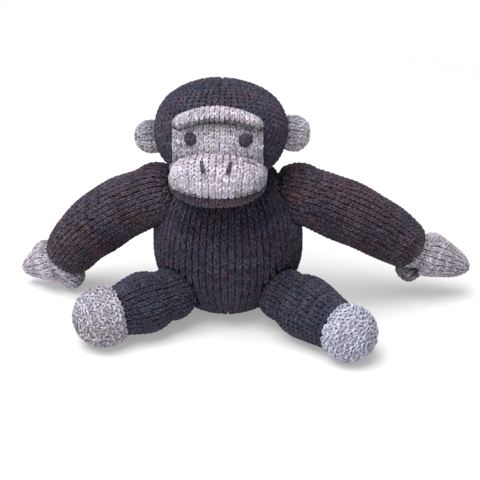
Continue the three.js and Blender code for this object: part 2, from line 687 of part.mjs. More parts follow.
function buildLeg(side, place, round, length, footWidth) {
  const sign = Math.sign(place.outward.x);
  const footRadius = footWidth / 2;
  const rise = footRadius - FOOT_FLAT - place.middle.z;
  const level = Math.sqrt(length ** 2 - rise ** 2);
  const angle = radians(round);
  const along = new THREE.Vector3(sign * level * Math.sin(angle), -level * Math.cos(angle), rise);
  const leg = limbGroup(place.middle, along, UP.clone().negate());
  const ankle = length - ANKLE_BACK;
  const stations = [[LEG_FULLEST, LEG_WIDTH], [ankle - GAP, ANKLE_WIDTH]];
  const outer = limbOutline(LEG_BALL, stations, 0, 5, 5);
  const inner = limbOutline(LEG_BALL, stations, FABRIC, 4, 4);
  const shell = new THREE.LatheGeometry([...outer, ...inner.reverse()], LIMB_SIDES);
  const lifted = [-LEG_SPREADS, 0, LEG_SPREADS].map((spread) => [LEG_LIFTS, spread]);
  const cover = clearOfBody(solidOf(shell), place, leg, UP, [[0, 0], [LEG_LIFTS / 2, 0], ...lifted]);
  piece(`${side}_leg_cover`, cover, DARK_TWEED, leg);
  knotIn(place, leg);

  // Points round the foot's ball from the ankle's edge to the toe.
  const footArc = (radius, from, steps) => {
    const start = Math.acos(THREE.MathUtils.clamp(from / radius, -1, 1));
    const points = [];
    for (let i = 0; i <= steps; i += 1) {
      const a = start * (1 - i / steps);
      points.push(new THREE.Vector2(i === steps ? 0 : radius * Math.sin(a), length + radius * Math.cos(a)));
    }
    return points;
  };
  const skin = footArc(footRadius, -ANKLE_BACK, 8);
  const lining = footArc(footRadius - FABRIC, -ANKLE_BACK, 6);
  const cup = new THREE.LatheGeometry([...lining.reverse(), ...skin], LIMB_SIDES);
  const floor = new THREE.BoxGeometry(footWidth * 2, footWidth * 2, footWidth);
  const under = new THREE.Vector3(0, length, 0).applyMatrix4(leg.matrixWorld);
  floor.translate(under.x, under.y, -footWidth / 2);
  floor.applyMatrix4(leg.matrixWorld.clone().invert());
  piece(`${side}_foot_cover`, solidOf(cup).subtract(solidOf(floor)), PALE_MARL, leg);
  const liningEdge = Math.sqrt((footRadius - FABRIC) ** 2 - ANKLE_BACK ** 2);
  const ankleInside = Math.min(ANKLE_WIDTH, 2 * (liningEdge + FABRIC));
  const inside = [[LEG_FULLEST, LEG_WIDTH], [ankle - GAP, ankleInside]];
  const packed = stuffingOutline(LEG_BALL, inside, 4, 4);
  const toe = footArc(footRadius - FABRIC - GAP, -ANKLE_BACK + 2 * GAP, 6);
  const stuffing = new THREE.LatheGeometry([...packed, ...toe], LIMB_SIDES);
  piece(`${side}_leg_stuffing`, stuffing, FIBRE, leg);
}

buildBody();
buildHead();
buildFacePanel();
buildBrow();
buildEye('left_eye', 1);
buildEye('right_eye', -1);
buildMuzzle();
buildNostril('left_nostril', 1);
buildNostril('right_nostril', -1);
buildEar('left_ear', 1, LEFT_EAR_DROP);
buildEar('right_ear', -1, RIGHT_EAR_DROP);
buildArm(
  'left',
  sockets.leftShoulder,
  LEFT_ARM_SWEEP,
  LEFT_ARM_BEND,
  LEFT_WRIST_HEIGHT,
  LEFT_HAND_LIFT,
  LEFT_HAND_LENGTH,
  LEFT_THUMB_TURN,
);
buildArm(
  'right',
  sockets.rightShoulder,
  RIGHT_ARM_SWEEP,
  RIGHT_ARM_BEND,
  RIGHT_WRIST_HEIGHT,
  RIGHT_HAND_LIFT,
  RIGHT_HAND_LENGTH,
  RIGHT_THUMB_TURN,
);
buildLeg('left', sockets.leftHip, LEFT_LEG_ANGLE, LEFT_LEG_LENGTH, LEFT_FOOT_WIDTH);
buildLeg('right', sockets.rightHip, RIGHT_LEG_ANGLE, RIGHT_LEG_LENGTH, RIGHT_FOOT_WIDTH);

export default gorilla;
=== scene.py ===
"""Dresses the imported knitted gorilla: stuffed covers of real stitches, an embroidered face and sewn seams.

Sizes are in millimetres and are the part's own; meshes are made in metres in the part's frame.
The toy faces -Y, its own left is +X, and the origin is the middle of its seat.
"""

import json
import logging
import math
from dataclasses import dataclass, field, replace
from enum import Enum
from typing import Callable, Optional, Sequence

import bmesh
import bpy
import numpy as np
from mathutils import Matrix, Vector


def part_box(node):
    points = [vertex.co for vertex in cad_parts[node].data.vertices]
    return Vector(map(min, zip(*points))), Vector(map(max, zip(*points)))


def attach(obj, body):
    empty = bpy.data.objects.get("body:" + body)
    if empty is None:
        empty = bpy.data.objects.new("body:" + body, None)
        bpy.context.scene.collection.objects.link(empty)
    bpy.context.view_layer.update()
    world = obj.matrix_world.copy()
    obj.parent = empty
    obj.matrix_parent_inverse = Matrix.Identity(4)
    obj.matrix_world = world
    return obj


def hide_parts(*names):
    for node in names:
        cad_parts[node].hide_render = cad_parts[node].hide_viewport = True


logging.basicConfig(level=logging.INFO, format="%(message)s")
LOG = logging.getLogger("gorilla")

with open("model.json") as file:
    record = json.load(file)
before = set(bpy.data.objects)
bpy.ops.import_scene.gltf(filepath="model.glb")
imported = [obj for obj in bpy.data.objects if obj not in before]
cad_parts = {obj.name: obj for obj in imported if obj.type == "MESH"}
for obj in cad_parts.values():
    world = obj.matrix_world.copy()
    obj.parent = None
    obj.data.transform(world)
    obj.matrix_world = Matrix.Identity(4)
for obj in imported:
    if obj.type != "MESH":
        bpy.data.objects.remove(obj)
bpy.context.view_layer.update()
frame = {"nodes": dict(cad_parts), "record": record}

MM = 0.001
UP = np.array([0.0, 0.0, 1.0])
FLOOR = 0.00005  # The least height of a stitch, in metres.
MERGED = 2e-5  # Vertices nearer than this, in metres, are one.
POLE = 0.05  # The least radius of a turned outline.
WALL = 3.2  # Thickness of a cover.
FILL_IN = 6.5  # How far stuffing lies below a cover's face.

# Widths of the rounded ends that are sewn into the body.
NECK_BALL, SHOULDER_BALL, HIP_BALL = 56, 50, 43

# Where they are sewn in: the place, which is a body's name too, its joint and the width.
SEWN_IN = (
    ("neck", "head_nod", NECK_BALL),
    ("left_shoulder", "left_arm_raise", SHOULDER_BALL),
    ("right_shoulder", "right_arm_raise", SHOULDER_BALL),
    ("left_hip", "left_leg_lift", HIP_BALL),
    ("right_hip", "right_leg_lift", HIP_BALL),
)

Array = np.ndarray
Mask = Callable[[Array], Array]
Colour = tuple[int, int, int]
Wire = bpy.types.NodeSocket
Inputs = dict[str | int, object]


class Side(Enum):
    """The toy's own left and right."""

    LEFT = 1
    RIGHT = -1

    @property
    def word(self) -> str:
        """The side as it stands in the part's names."""
        return self.name.lower()


def unit(vector: Array) -> Array:
    """The vector, or each vector of an array, at length one."""
    length = np.linalg.norm(vector, axis=-1, keepdims=True)
    return vector / np.maximum(length, 1e-9)


def circle(count: int) -> Array:
    """Angles at even steps round a circle."""
    return np.arange(count) / count * 2 * math.pi


def about_z(angle: float) -> Array:
    """A turn about +Z, in radians, as a matrix."""
    c, s = math.cos(angle), math.sin(angle)
    return np.array([[c, -s, 0], [s, c, 0], [0, 0, 1.0]])


def ramp(value: Array, start: float, run: float) -> Array:
    """A rise from nought to one that begins at a value and takes a run of them."""
    return np.clip((value - start) / run, 0, 1)


def joint_place(name: str) -> Array:
    """Where a joint of the part turns, in millimetres."""
    found = next(j for j in frame["record"]["behaviour"]["joints"] if j["name"] == name)
    return np.array(found["pos_m"], float) / MM


# Finishes


@dataclass
class Wiring:
    """Sets nodes in a tree and links them up."""

    tree: bpy.types.NodeTree

    def sockets(self, way: str, **kinds: Sequence[str]) -> None:
        """Gives the tree its own named sockets.

        Args:
            way: INPUT or OUTPUT.
            kinds: The names of the sockets of each kind.
        """
        for kind, names in kinds.items():
            for name in names:
                self.tree.interface.new_socket(name, in_out=way, socket_type=f"NodeSocket{kind}")

    def fit(self, node: bpy.types.Node, inputs: Inputs) -> None:
        """Links or sets the inputs of a node.

        Args:
            node: The node.
            inputs: Another node's socket, or a plain value, for each input by its name or number.
        """
        for socket, value in inputs.items():
            if isinstance(value, Wire):
                self.tree.links.new(value, node.inputs[socket])
            else:
                node.inputs[socket].default_value = value

    def node(self, kind: str, inputs: Optional[Inputs] = None, **settings: object) -> bpy.types.Node:
        """Adds a node.

        Args:
            kind: The node's type.
            inputs: What its inputs are linked or set to.
            settings: Values of the node itself.

        Returns:
            The node.
        """
        made = self.tree.nodes.new(kind)
        for name, value in settings.items():
            setattr(made, name, value)
        self.fit(made, inputs or {})
        return made

    def wire(self, kind: str, inputs: Optional[Inputs] = None, **settings: object) -> Wire:
        """Adds a node as the method above does, and gives its first output."""
        return self.node(kind, inputs, **settings).outputs[0]

    def calc(self, operation: str, *values: object) -> Wire:
        """A sum of sockets and numbers."""
        return self.wire("ShaderNodeMath", dict(enumerate(values)), operation=operation)


@dataclass(frozen=True)
class Yarn:
    """A yarn's colours, as sRGB bytes, and how its flecks lie.

    Args:
        name: The material's name.
        slot: The record's material slot; not used.
        base: The colour most of it has.
        dark: Its shaded strands.
        light: Its bright strands.
        fleck: The first colour of its tweed flecks.
        other: The second colour of its tweed flecks.
        fleck_share: How much of it is flecked.
        mottle: How strongly strands of the light and dark colours show.
        sheen: How far its loose fibres catch the light.
    """

    name: str
    slot: str
    base: Colour
    dark: Colour
    light: Colour
    fleck: Colour
    other: Colour
    fleck_share: float = 0.1
    mottle: float = 0.5
    sheen: float = 0.12

    def material(self) -> bpy.types.Material:
        """Builds the yarn's material, or finds it if it is there.

        Returns:
            The material.
        """
        found = bpy.data.materials.get(self.name)
        if found:
            return found
        made = bpy.data.materials.new(self.name)
        made.use_nodes = True
        wiring = Wiring(made.node_tree)
        wool = wiring.node("ShaderNodeGroup", node_tree=yarn_group())
        wiring.fit(wool, {
            "Base": linear(self.base),
            "Dark": linear(self.dark),
            "Light": linear(self.light),
            "Fleck": linear(self.fleck),
            "Other Fleck": linear(self.other),
            "Fleck Share": self.fleck_share,
            "Mottle": self.mottle,
        })
        relief = {"Strength": 0.6, "Distance": 0.0005, "Height": wool.outputs["Height"]}
        wiring.fit(made.node_tree.nodes["Principled BSDF"], {
            "Base Color": wool.outputs["Color"],
            "Roughness": wool.outputs["Roughness"],
            "Normal": wiring.wire("ShaderNodeBump", relief),
            "Specular IOR Level": 0.12,
            "Sheen Weight": self.sheen,
            "Sheen Roughness": 0.45,
        })
        return made


def linear(colour: Colour) -> tuple[float, float, float, float]:
    """An sRGB colour in bytes as the linear one that sockets take.

    Args:
        colour: Red, green and blue, from 0 to 255.

    Returns:
        The linear colour with an alpha of one.
    """
    share = [c / 255 for c in colour]
    made = [c / 12.92 if c <= 0.04045 else ((c + 0.055) / 1.055) ** 2.4 for c in share]
    return (made[0], made[1], made[2], 1.0)


def yarn_group() -> bpy.types.NodeTree:
    """The shared effect of spun wool: mottled strands, tweed flecks and the ply of the twist.

    Returns:
        The node group.
    """
    found = bpy.data.node_groups.get("spun_wool")
    if found:
        return found
    tree = bpy.data.node_groups.new("spun_wool", "ShaderNodeTree")
    wiring = Wiring(tree)
    wiring.sockets("INPUT", Color=("Base", "Dark", "Light", "Fleck", "Other Fleck"), Float=("Fleck Share", "Mottle"))
    wiring.sockets("OUTPUT", Color=("Color",), Float=("Roughness", "Height"))
    yarn = wiring.node("NodeGroupInput").outputs
    place = wiring.node("ShaderNodeTexCoord").outputs["Object"]
    calc = wiring.calc

    def noise(scale: float, detail: float, shift: float) -> Wire:
        """A noise over the object's own space, each shift giving another one."""
        inputs = {"Vector": place, "W": shift, "Scale": scale, "Detail": detail}
        return wiring.node("ShaderNodeTexNoise", inputs, noise_dimensions="4D").outputs["Fac"]

    def ranged(value: Wire, low: float, high: float) -> Wire:
        """A value stretched so that low gives zero and high gives one."""
        return wiring.wire("ShaderNodeMapRange", {"Value": value, "From Min": low, "From Max": high})

    def stored(name: str) -> Wire:
        """A number stored on each stitch."""
        return wiring.node("ShaderNodeAttribute", attribute_name=name).outputs["Fac"]

    def mixed(share: Wire, a: Wire, b: Wire) -> Wire:
        """Two colours mixed by a share."""
        return wiring.node("ShaderNodeMix", {0: share, 6: a, 7: b}, data_type="RGBA").outputs[2]

    def flecks(scale: float, shift: float, strand_shift: float) -> Wire:
        """How far a fleck's colour shows: in patches of the yarn, broken up strand by strand."""
        patches = calc("MULTIPLY", ranged(noise(scale, 3, shift), 0.48, 0.68), yarn["Fleck Share"])
        return calc("MULTIPLY", patches, ranged(noise(420, 1, strand_shift), 0.2, 0.6))

    strands = ranged(noise(620, 3, 0.0), 0.36, 0.64)
    mottled = mixed(yarn["Mottle"], yarn["Base"], mixed(strands, yarn["Dark"], yarn["Light"]))
    warmed = mixed(flecks(62, 3.0, 5.0), mottled, yarn["Fleck"])
    cooled = mixed(flecks(58, 9.0, 7.0), warmed, yarn["Other Fleck"])
    turn = calc("SINE", calc("MULTIPLY", stored("ply"), 2 * math.pi))
    fuzz = calc("MULTIPLY", noise(1500, 2, 1.0), 0.9)
    # The stored tone sets how bright the yarn is: a stitch's own tone that differs at random, with painted shade
    # added on some pieces.
    wiring.node("NodeGroupOutput", {
        "Color": wiring.wire(
            "ShaderNodeHueSaturation", {"Value": calc("ADD", 0.5, stored("tone")), "Color": cooled}
        ),
        "Roughness": calc("ADD", 0.8, calc("MULTIPLY", strands, 0.2)),
        "Height": calc("ADD", calc("MULTIPLY", turn, 0.45), fuzz),
    })
    return tree


DARK_TWEED = Yarn(
    "dark_tweed_yarn", "dark_tweed",
    base=(43, 40, 54), dark=(18, 16, 25), light=(86, 81, 99), fleck=(80, 50, 58), other=(38, 46, 72),
    fleck_share=0.55, mottle=0.9, sheen=0.1,
)
WARM_TWEED = replace(
    DARK_TWEED, name="warm_tweed_yarn", fleck_share=0.7,
    base=(50, 41, 51), dark=(15, 12, 18), light=(105, 93, 107), fleck=(88, 55, 60), other=(40, 47, 70),
)
COOL_TWEED = replace(
    DARK_TWEED, name="cool_tweed_yarn", base=(41, 41, 56), light=(82, 83, 103), fleck=(68, 50, 61),
)
PALE_MARL = Yarn(
    "pale_marl_yarn", "pale_marl",
    base=(182, 174, 186), dark=(116, 106, 117), light=(230, 225, 236), fleck=(170, 151, 157), other=(182, 186, 208),
    fleck_share=0.6, mottle=0.75,
)
COOL_MARL = replace(
    PALE_MARL, name="cool_marl_yarn", base=(187, 188, 210), dark=(124, 122, 140), light=(228, 230, 246),
)
EYE_YARN = Yarn(
    "embroidery_yarn", "eye_yarn",
    base=(46, 38, 45), dark=(17, 13, 18), light=(104, 93, 104), fleck=(60, 45, 49), other=(42, 42, 56),
    fleck_share=0.4, mottle=0.85, sheen=0.05,
)
FIBRE = Yarn(
    "stuffing_fibre", "fibre",
    base=(232, 228, 219), dark=(206, 200, 190), light=(248, 246, 240), fleck=(236, 232, 224), other=(240, 238, 232),
)


# Surfaces


def plain_mesh(name: str, points: Array, faces: list[list[int]]) -> bpy.types.Mesh:
    """A smooth mesh with its doubles merged and its faces turned outwards.

    Args:
        name: The mesh's name.
        points: Its vertices, in millimetres.
        faces: The vertices of each face.

    Returns:
        The mesh, in metres.
    """
    mesh = bpy.data.meshes.new(name)
    mesh.from_pydata((points * MM).tolist(), [], faces)
    work = bmesh.new()
    work.from_mesh(mesh)
    bmesh.ops.remove_doubles(work, verts=work.verts, dist=MERGED)
    bmesh.ops.recalc_face_normals(work, faces=work.faces)
    work.to_mesh(mesh)
    work.free()
    mesh.polygons.foreach_set("use_smooth", [True] * len(mesh.polygons))
    mesh.update()
    return mesh


@dataclass
class Fabric:
    """A grid of points over a piece, in rows along its columns of stitches.

    Args:
        points: Rows by columns by three, in millimetres.
        closed: Whether the columns go all the way round.
        out: A direction that the fabric faces, for an open piece.
    """

    points: Array
    closed: bool = True
    out: Optional[Array] = None

    def normals(self) -> Array:
        """Directions out of the fabric at its points.

        Returns:
            Rows by columns by three, at length one.
        """
        p = self.points
        down = np.gradient(p, axis=0)
        if self.closed:
            across = (np.roll(p, -1, axis=1) - np.roll(p, 1, axis=1)) / 2
        else:
            across = np.gradient(p, axis=1)
        normal = np.cross(across, down)
        ring = unit(normal)
        for row, beside in ((0, 1), (-1, -2)):
            bare = np.linalg.norm(normal[row], axis=-1) < 1e-6
            ring[row][bare] = unit(ring[beside].mean(axis=0))
        facing = self.out if self.out is not None else p - p.reshape(-1, 3).mean(axis=0)
        return ring if (ring * facing).sum() > 0 else -ring

    def moved(self, by: float | Array) -> "Fabric":
        """The fabric with its points moved along its directions out.

        Args:
            by: How far, one number or one for each point.

        Returns:
            The new fabric.
        """
        by = np.asarray(by, float)
        return Fabric(self.points + self.normals() * (by[..., None] if by.ndim else by), self.closed, self.out)

    def at(self, across: Array, down: Array) -> Array:
        """Points of the fabric between those of its grid.

        Args:
            across: Shares of the way round or across.
            down: Shares of the way along.

        Returns:
            A point for each pair of shares.
        """
        rows, columns = self.points.shape[:2]
        v = np.clip(down, 0, 1) * (rows - 1)
        u = np.mod(across, 1) * columns if self.closed else np.clip(across, 0, 1) * (columns - 1)
        r0 = np.minimum(v.astype(int), rows - 2)
        c0 = np.minimum(u.astype(int), columns - (1 if self.closed else 2))
        c1 = (c0 + 1) % columns
        fv, fu = (v - r0)[:, None], (u - c0)[:, None]
        p = self.points
        top = p[r0, c0] * (1 - fu) + p[r0, c1] * fu
        low = p[r0 + 1, c0] * (1 - fu) + p[r0 + 1, c1] * fu
        return top * (1 - fv) + low * fv

    def lifted(self, height: float) -> "Fabric":
        """The fabric with what lies below a height lifted to it."""
        return Fabric(np.maximum(self.points, [-np.inf, -np.inf, height]), self.closed, self.out)

    def crossed(self) -> "Fabric":
        """The fabric with its rows and columns exchanged, open at its edges."""
        return Fabric(np.swapaxes(self.points, 0, 1), closed=False)

    def mesh(self, name: str, back: float = 0.0, shade: Optional[Mask] = None) -> bpy.types.Mesh:
        """A closed mesh of the fabric: capped at its ends, or a slab with a back where it is open.

        Args:
            name: The mesh's name.
            back: How far the back of an open piece lies behind its front.
            shade: What is added to its tone at each place: painted shade, or a lift that lightens the painted shade
                of the gaps.

        Returns:
            The mesh, in metres, facing out.
        """
        rows, columns = self.points.shape[:2]
        flat = self.points.reshape(-1, 3)
        index = np.arange(rows * columns).reshape(rows, columns)
        faces: list[list[int]] = []

        def skin(grid: Array, wrap: bool) -> None:
            """Adds the quads of a grid.

            Args:
                grid: The number of each vertex, rows by columns.
                wrap: Whether the last column meets the first.
            """
            last = columns if wrap else columns - 1
            for r in range(rows - 1):
                for c in range(last):
                    d = (c + 1) % columns
                    faces.append([grid[r, c], grid[r, d], grid[r + 1, d], grid[r + 1, c]])

        skin(index, self.closed)
        if self.closed:
            faces.extend([list(index[0]), list(index[-1])])
        else:
            flat = np.concatenate([flat, self.moved(-back).points.reshape(-1, 3)])
            skin(index + rows * columns, False)
            rim = [*index[0], *index[1:, -1], *index[-1, -2::-1], *index[-2:0:-1, 0]]
            for a, b in zip(rim, rim[1:] + rim[:1]):
                faces.append([a, b, b + rows * columns, a + rows * columns])
        mesh = plain_mesh(name, flat, [[int(i) for i in face] for face in faces])
        # A back's tone starts at 0.1, below the stitches' 0.5, which paints shade into the gaps between the
        # stitches; a back given no shade has no tone, which the material reads as nought, and is darker still.
        if shade is not None:
            places = np.array([v.co for v in mesh.vertices]) / MM
            tones = np.maximum(0.1 + shade(places), -0.45)
            mesh.attributes.new("tone", "FLOAT", "POINT").data.foreach_set("value", tones)
        return mesh


def all_over(tone: float) -> Mask:
    """A shade that is the same everywhere."""
    return lambda places: np.full(len(places), tone)


def lumps(points: Array, seed: int, height: float, length: float) -> Array:
    """A soft unevenness over points, as of stuffing pushed in by hand.

    Args:
        points: Points in millimetres, with three as the last size.
        seed: Which unevenness.
        height: How high it is.
        length: How far apart its lumps are.

    Returns:
        A height for each point.
    """
    rng = np.random.default_rng(seed)
    total = np.zeros(points.shape[:-1])
    for _ in range(9):
        way = unit(rng.normal(size=3)) * (2 * math.pi / length) * rng.uniform(0.6, 1.4)
        total += np.sin(points @ way + rng.uniform(0, 2 * math.pi))
    return total / 3 * height


CLOTH = {
    "quality": 4,
    "mass": 0.2,
    "tension_stiffness": 12,
    "compression_stiffness": 12,
    "shear_stiffness": 8,
    "bending_stiffness": 0.6,
    "use_pressure": True,
    "vertex_group_mass": "sewn",
}


@dataclass(frozen=True)
class Stuffing:
    """How a cover is filled by hand.

    Args:
        seed: Which unevenness it has.
        length: How far apart its lumps are.
        lump: How high they are.
        slack: How far in the cover lies before it is filled.
        pressure: The push of the stuffing.
        cap: The furthest that it pushes the cover.
        steps: How many steps the cloth takes.
    """

    seed: int
    length: float
    lump: float = 0.6
    slack: float = 0.5
    pressure: float = 1.0
    cap: float = 1.2
    steps: int = 14

    def fill(self, cover: Fabric, held: Array, name: str) -> Fabric:
        """Blows a closed cover up from inside as cloth, held along its seams.

        Args:
            cover: The cover before it is stuffed.
            held: Which points are sewn down, rows by columns, or which rows are.
            name: A name for the cloth while it is worked.

        Returns:
            The stuffed cover.
        """
        fabric = cover.moved(lumps(cover.points, self.seed, self.lump, self.length) - self.slack)
        rows, columns = fabric.points.shape[:2]
        index = np.arange(rows * columns).reshape(rows, columns)
        around = np.roll(index, -1, axis=1)
        quads = np.stack([index[:-1], around[:-1], around[1:], index[1:]], axis=-1).reshape(-1, 4)
        row, corner = rows // 2, fabric.points[rows // 2, 0]
        facing = np.cross(fabric.points[row, 1] - corner, fabric.points[row + 1, 0] - corner)
        if facing @ fabric.normals()[row, 0] < 0:
            quads = quads[:, ::-1]
        mesh = bpy.data.meshes.new(name)
        mesh.from_pydata(
            (fabric.points.reshape(-1, 3) * MM).tolist(), [], quads.tolist() + [list(index[0]), list(index[-1])]
        )
        work = bpy.data.objects.new(name, mesh)
        scene = bpy.context.scene
        scene.collection.objects.link(work)
        fixed = np.broadcast_to(held, (rows, columns)).copy()
        fixed[[0, -1]] = True
        work.vertex_groups.new(name="sewn").add([int(i) for i in index[fixed]], 1.0, "REPLACE")
        cloth = work.modifiers.new("stuffing", "CLOTH")
        for setting, value in CLOTH.items():
            setattr(cloth.settings, setting, value)
        cloth.settings.uniform_pressure_force = self.pressure
        cloth.settings.effector_weights.gravity = 0
        cloth.collision_settings.use_collision = False
        cloth.point_cache.frame_start = 1
        cloth.point_cache.frame_end = self.steps
        for step in range(1, self.steps + 1):
            scene.frame_set(step)
        seen = work.evaluated_get(bpy.context.evaluated_depsgraph_get())
        after = np.empty(rows * columns * 3)
        seen.data.vertices.foreach_get("co", after)
        move = after.reshape(rows, columns, 3) / MM - fabric.points
        bpy.data.objects.remove(work)
        bpy.data.meshes.remove(mesh)
        scene.frame_set(1)
        length = np.linalg.norm(move, axis=-1, keepdims=True)
        move *= np.minimum(1, self.cap / np.maximum(length, 1e-6))
        return Fabric(fabric.points + move, fabric.closed, fabric.out)


# Stitches


@dataclass(frozen=True)
class Gauge:
    """How a fabric is knitted: the size of a stitch and how far it stands out.

    Args:
        width: Of a column of stitches.
        height: Of a row.
        depth: How far a stitch stands, from the back of the fabric to its front, were it as tall as it is wide.
        sunk: The middle of the stitches below the fabric's face, as a share of the depth.
        back: The fabric's back below its face, as a share of the depth.
    """

    width: float = 5.4
    height: float = 4.2
    depth: float = 5.2
    sunk: float = 0.36
    back: float = 0.52

    def behind(self, fabric: Fabric) -> Fabric:
        """The back of a fabric of this gauge."""
        return fabric.moved(-self.depth * self.back)


@dataclass
class Stitches:
    """Places for stitches: where each lies, how it is turned, how large it is and how light."""

    places: list[Array] = field(default_factory=list)
    turns: list[Array] = field(default_factory=list)
    sizes: list[Array] = field(default_factory=list)
    tones: list[Array] = field(default_factory=list)

    def add(self, place: Array, along: Array, out: Array, size: Array, tone: Array) -> None:
        """Adds a row of stitches.

        Args:
            place: Middle of each stitch.
            along: The way each points.
            out: The way each faces.
            size: Width, height and depth of each.
            tone: A number for each stitch's light or dark.
        """
        y = unit(along)
        x = unit(np.cross(y, out))
        z = np.cross(x, y)
        turn = [Matrix(np.stack([a, b, c], axis=1).tolist()).to_euler() for a, b, c in zip(x, y, z)]
        self.places.append(place)
        self.turns.append(np.array([list(t) for t in turn]))
        self.sizes.append(np.broadcast_to(size, place.shape))
        self.tones.append(tone)


def knit(
    fabric: Fabric,
    gauge: Gauge,
    columns: int,
    seed: int,
    keep: Optional[Mask] = None,
    stagger: bool = False,
    shade: Mask | float = 0.0,
    loose: float = 0.04,
) -> Stitches:
    """Lays rows of stitches over a fabric, joining columns and rows where it narrows.

    Args:
        fabric: The surface that the stitches' tops meet.
        gauge: The size of the stitches.
        columns: How many columns go across it where it is widest.
        seed: For the yarn's tone.
        keep: Says which places get a stitch.
        stagger: Whether every other row is moved half a column along, and each row has its own count.
        shade: What is added to the tone, or what gives it at each place: painted shade on some pieces, a tone of the
            yarn itself on others.
        loose: How far stitches stray from their places, as a share of their size.

    Returns:
        The stitches.
    """
    fewest, tightest = 4, 0.62 * gauge.width
    yarn, spare = 6000, 200
    rng = np.random.default_rng(seed)
    made = Stitches()
    p = fabric.points
    normal = fabric.normals()
    step = np.linalg.norm(np.diff(p, axis=0), axis=-1).max(axis=1)
    run = np.concatenate([[0], np.cumsum(step)])
    count = max(2, round(run[-1] / gauge.height))
    height = run[-1] / count
    shares = np.linspace(0, 1, len(run))
    walk = np.convolve(rng.normal(size=yarn), np.ones(5) / 2.2, mode="same")
    walked = 0
    for course in range(count):
        at, before, after = (np.interp((course + k) * height, run, shares) for k in (0.5, 0.0, 1.0))
        near = min(at * (len(run) - 1), len(run) - 1.001)
        line = p[int(near)] * (1 - near % 1) + p[int(near) + 1] * (near % 1)
        ends = np.roll(line, -1, axis=0) if fabric.closed else line[1:]
        girth = np.linalg.norm(ends - (line if fabric.closed else line[:-1]), axis=-1).sum()
        across = max(fewest, min(columns, round(girth / gauge.width))) if stagger else columns
        while girth / across < tightest and across > fewest:
            across = math.ceil(across / 2)
        shift = 0.5 if stagger and course % 2 else 0.0
        u = (np.arange(across) + 0.5 + shift) / across
        u = u if fabric.closed else u[u < 1]
        here = np.full(len(u), at)
        place = fabric.at(u, here)
        along = fabric.at(u, np.full(len(u), before)) - fabric.at(u, np.full(len(u), after))
        side = fabric.at(u + 0.4 / across, here) - fabric.at(u - 0.4 / across, here)
        width = np.linalg.norm(side, axis=-1) / 0.8
        tall = np.linalg.norm(along, axis=-1)
        near_col = np.clip((u * p.shape[1]).astype(int) % p.shape[1], 0, p.shape[1] - 1)
        out = unit(np.cross(side, along))
        out *= np.sign((out * normal[int(round(near)), near_col]).sum(axis=-1, keepdims=True))
        thin = np.where(tall < 0.3 * gauge.height, 4, np.where(tall < 0.6 * gauge.height, 2, 1))
        size = np.stack([width, np.maximum(tall * thin, 0.5 * gauge.height), np.full(len(u), gauge.depth)], axis=-1)
        tone = 0.5 + 0.13 * walk[walked:walked + len(u)] + rng.normal(size=len(u)) * 0.08
        walked = (walked + len(u)) % (yarn - spare)
        stray = rng.normal(size=(2, len(u), 1)) * loose
        place = place + unit(side) * stray[0] * gauge.width + unit(along) * stray[1] * gauge.height
        tone = np.maximum(tone + (shade(place) if callable(shade) else shade), -0.4)
        wanted = (course % thin == 0) & (tall > 0.16 * gauge.height)
        if keep is not None:
            wanted &= keep(place)
        if wanted.any():
            sunk = place - out * gauge.depth * gauge.sunk
            made.add(*(values[wanted] for values in (sunk, along, out, size, tone)))
    return made


class Loop(Enum):
    """Shapes of yarn that a tree can lay: a stitch's two legs, the bump of its back, or one straight strand."""

    KNITTED = "knitted_stitch"
    PURLED = "purled_bump"
    STRAND = "laid_strand"


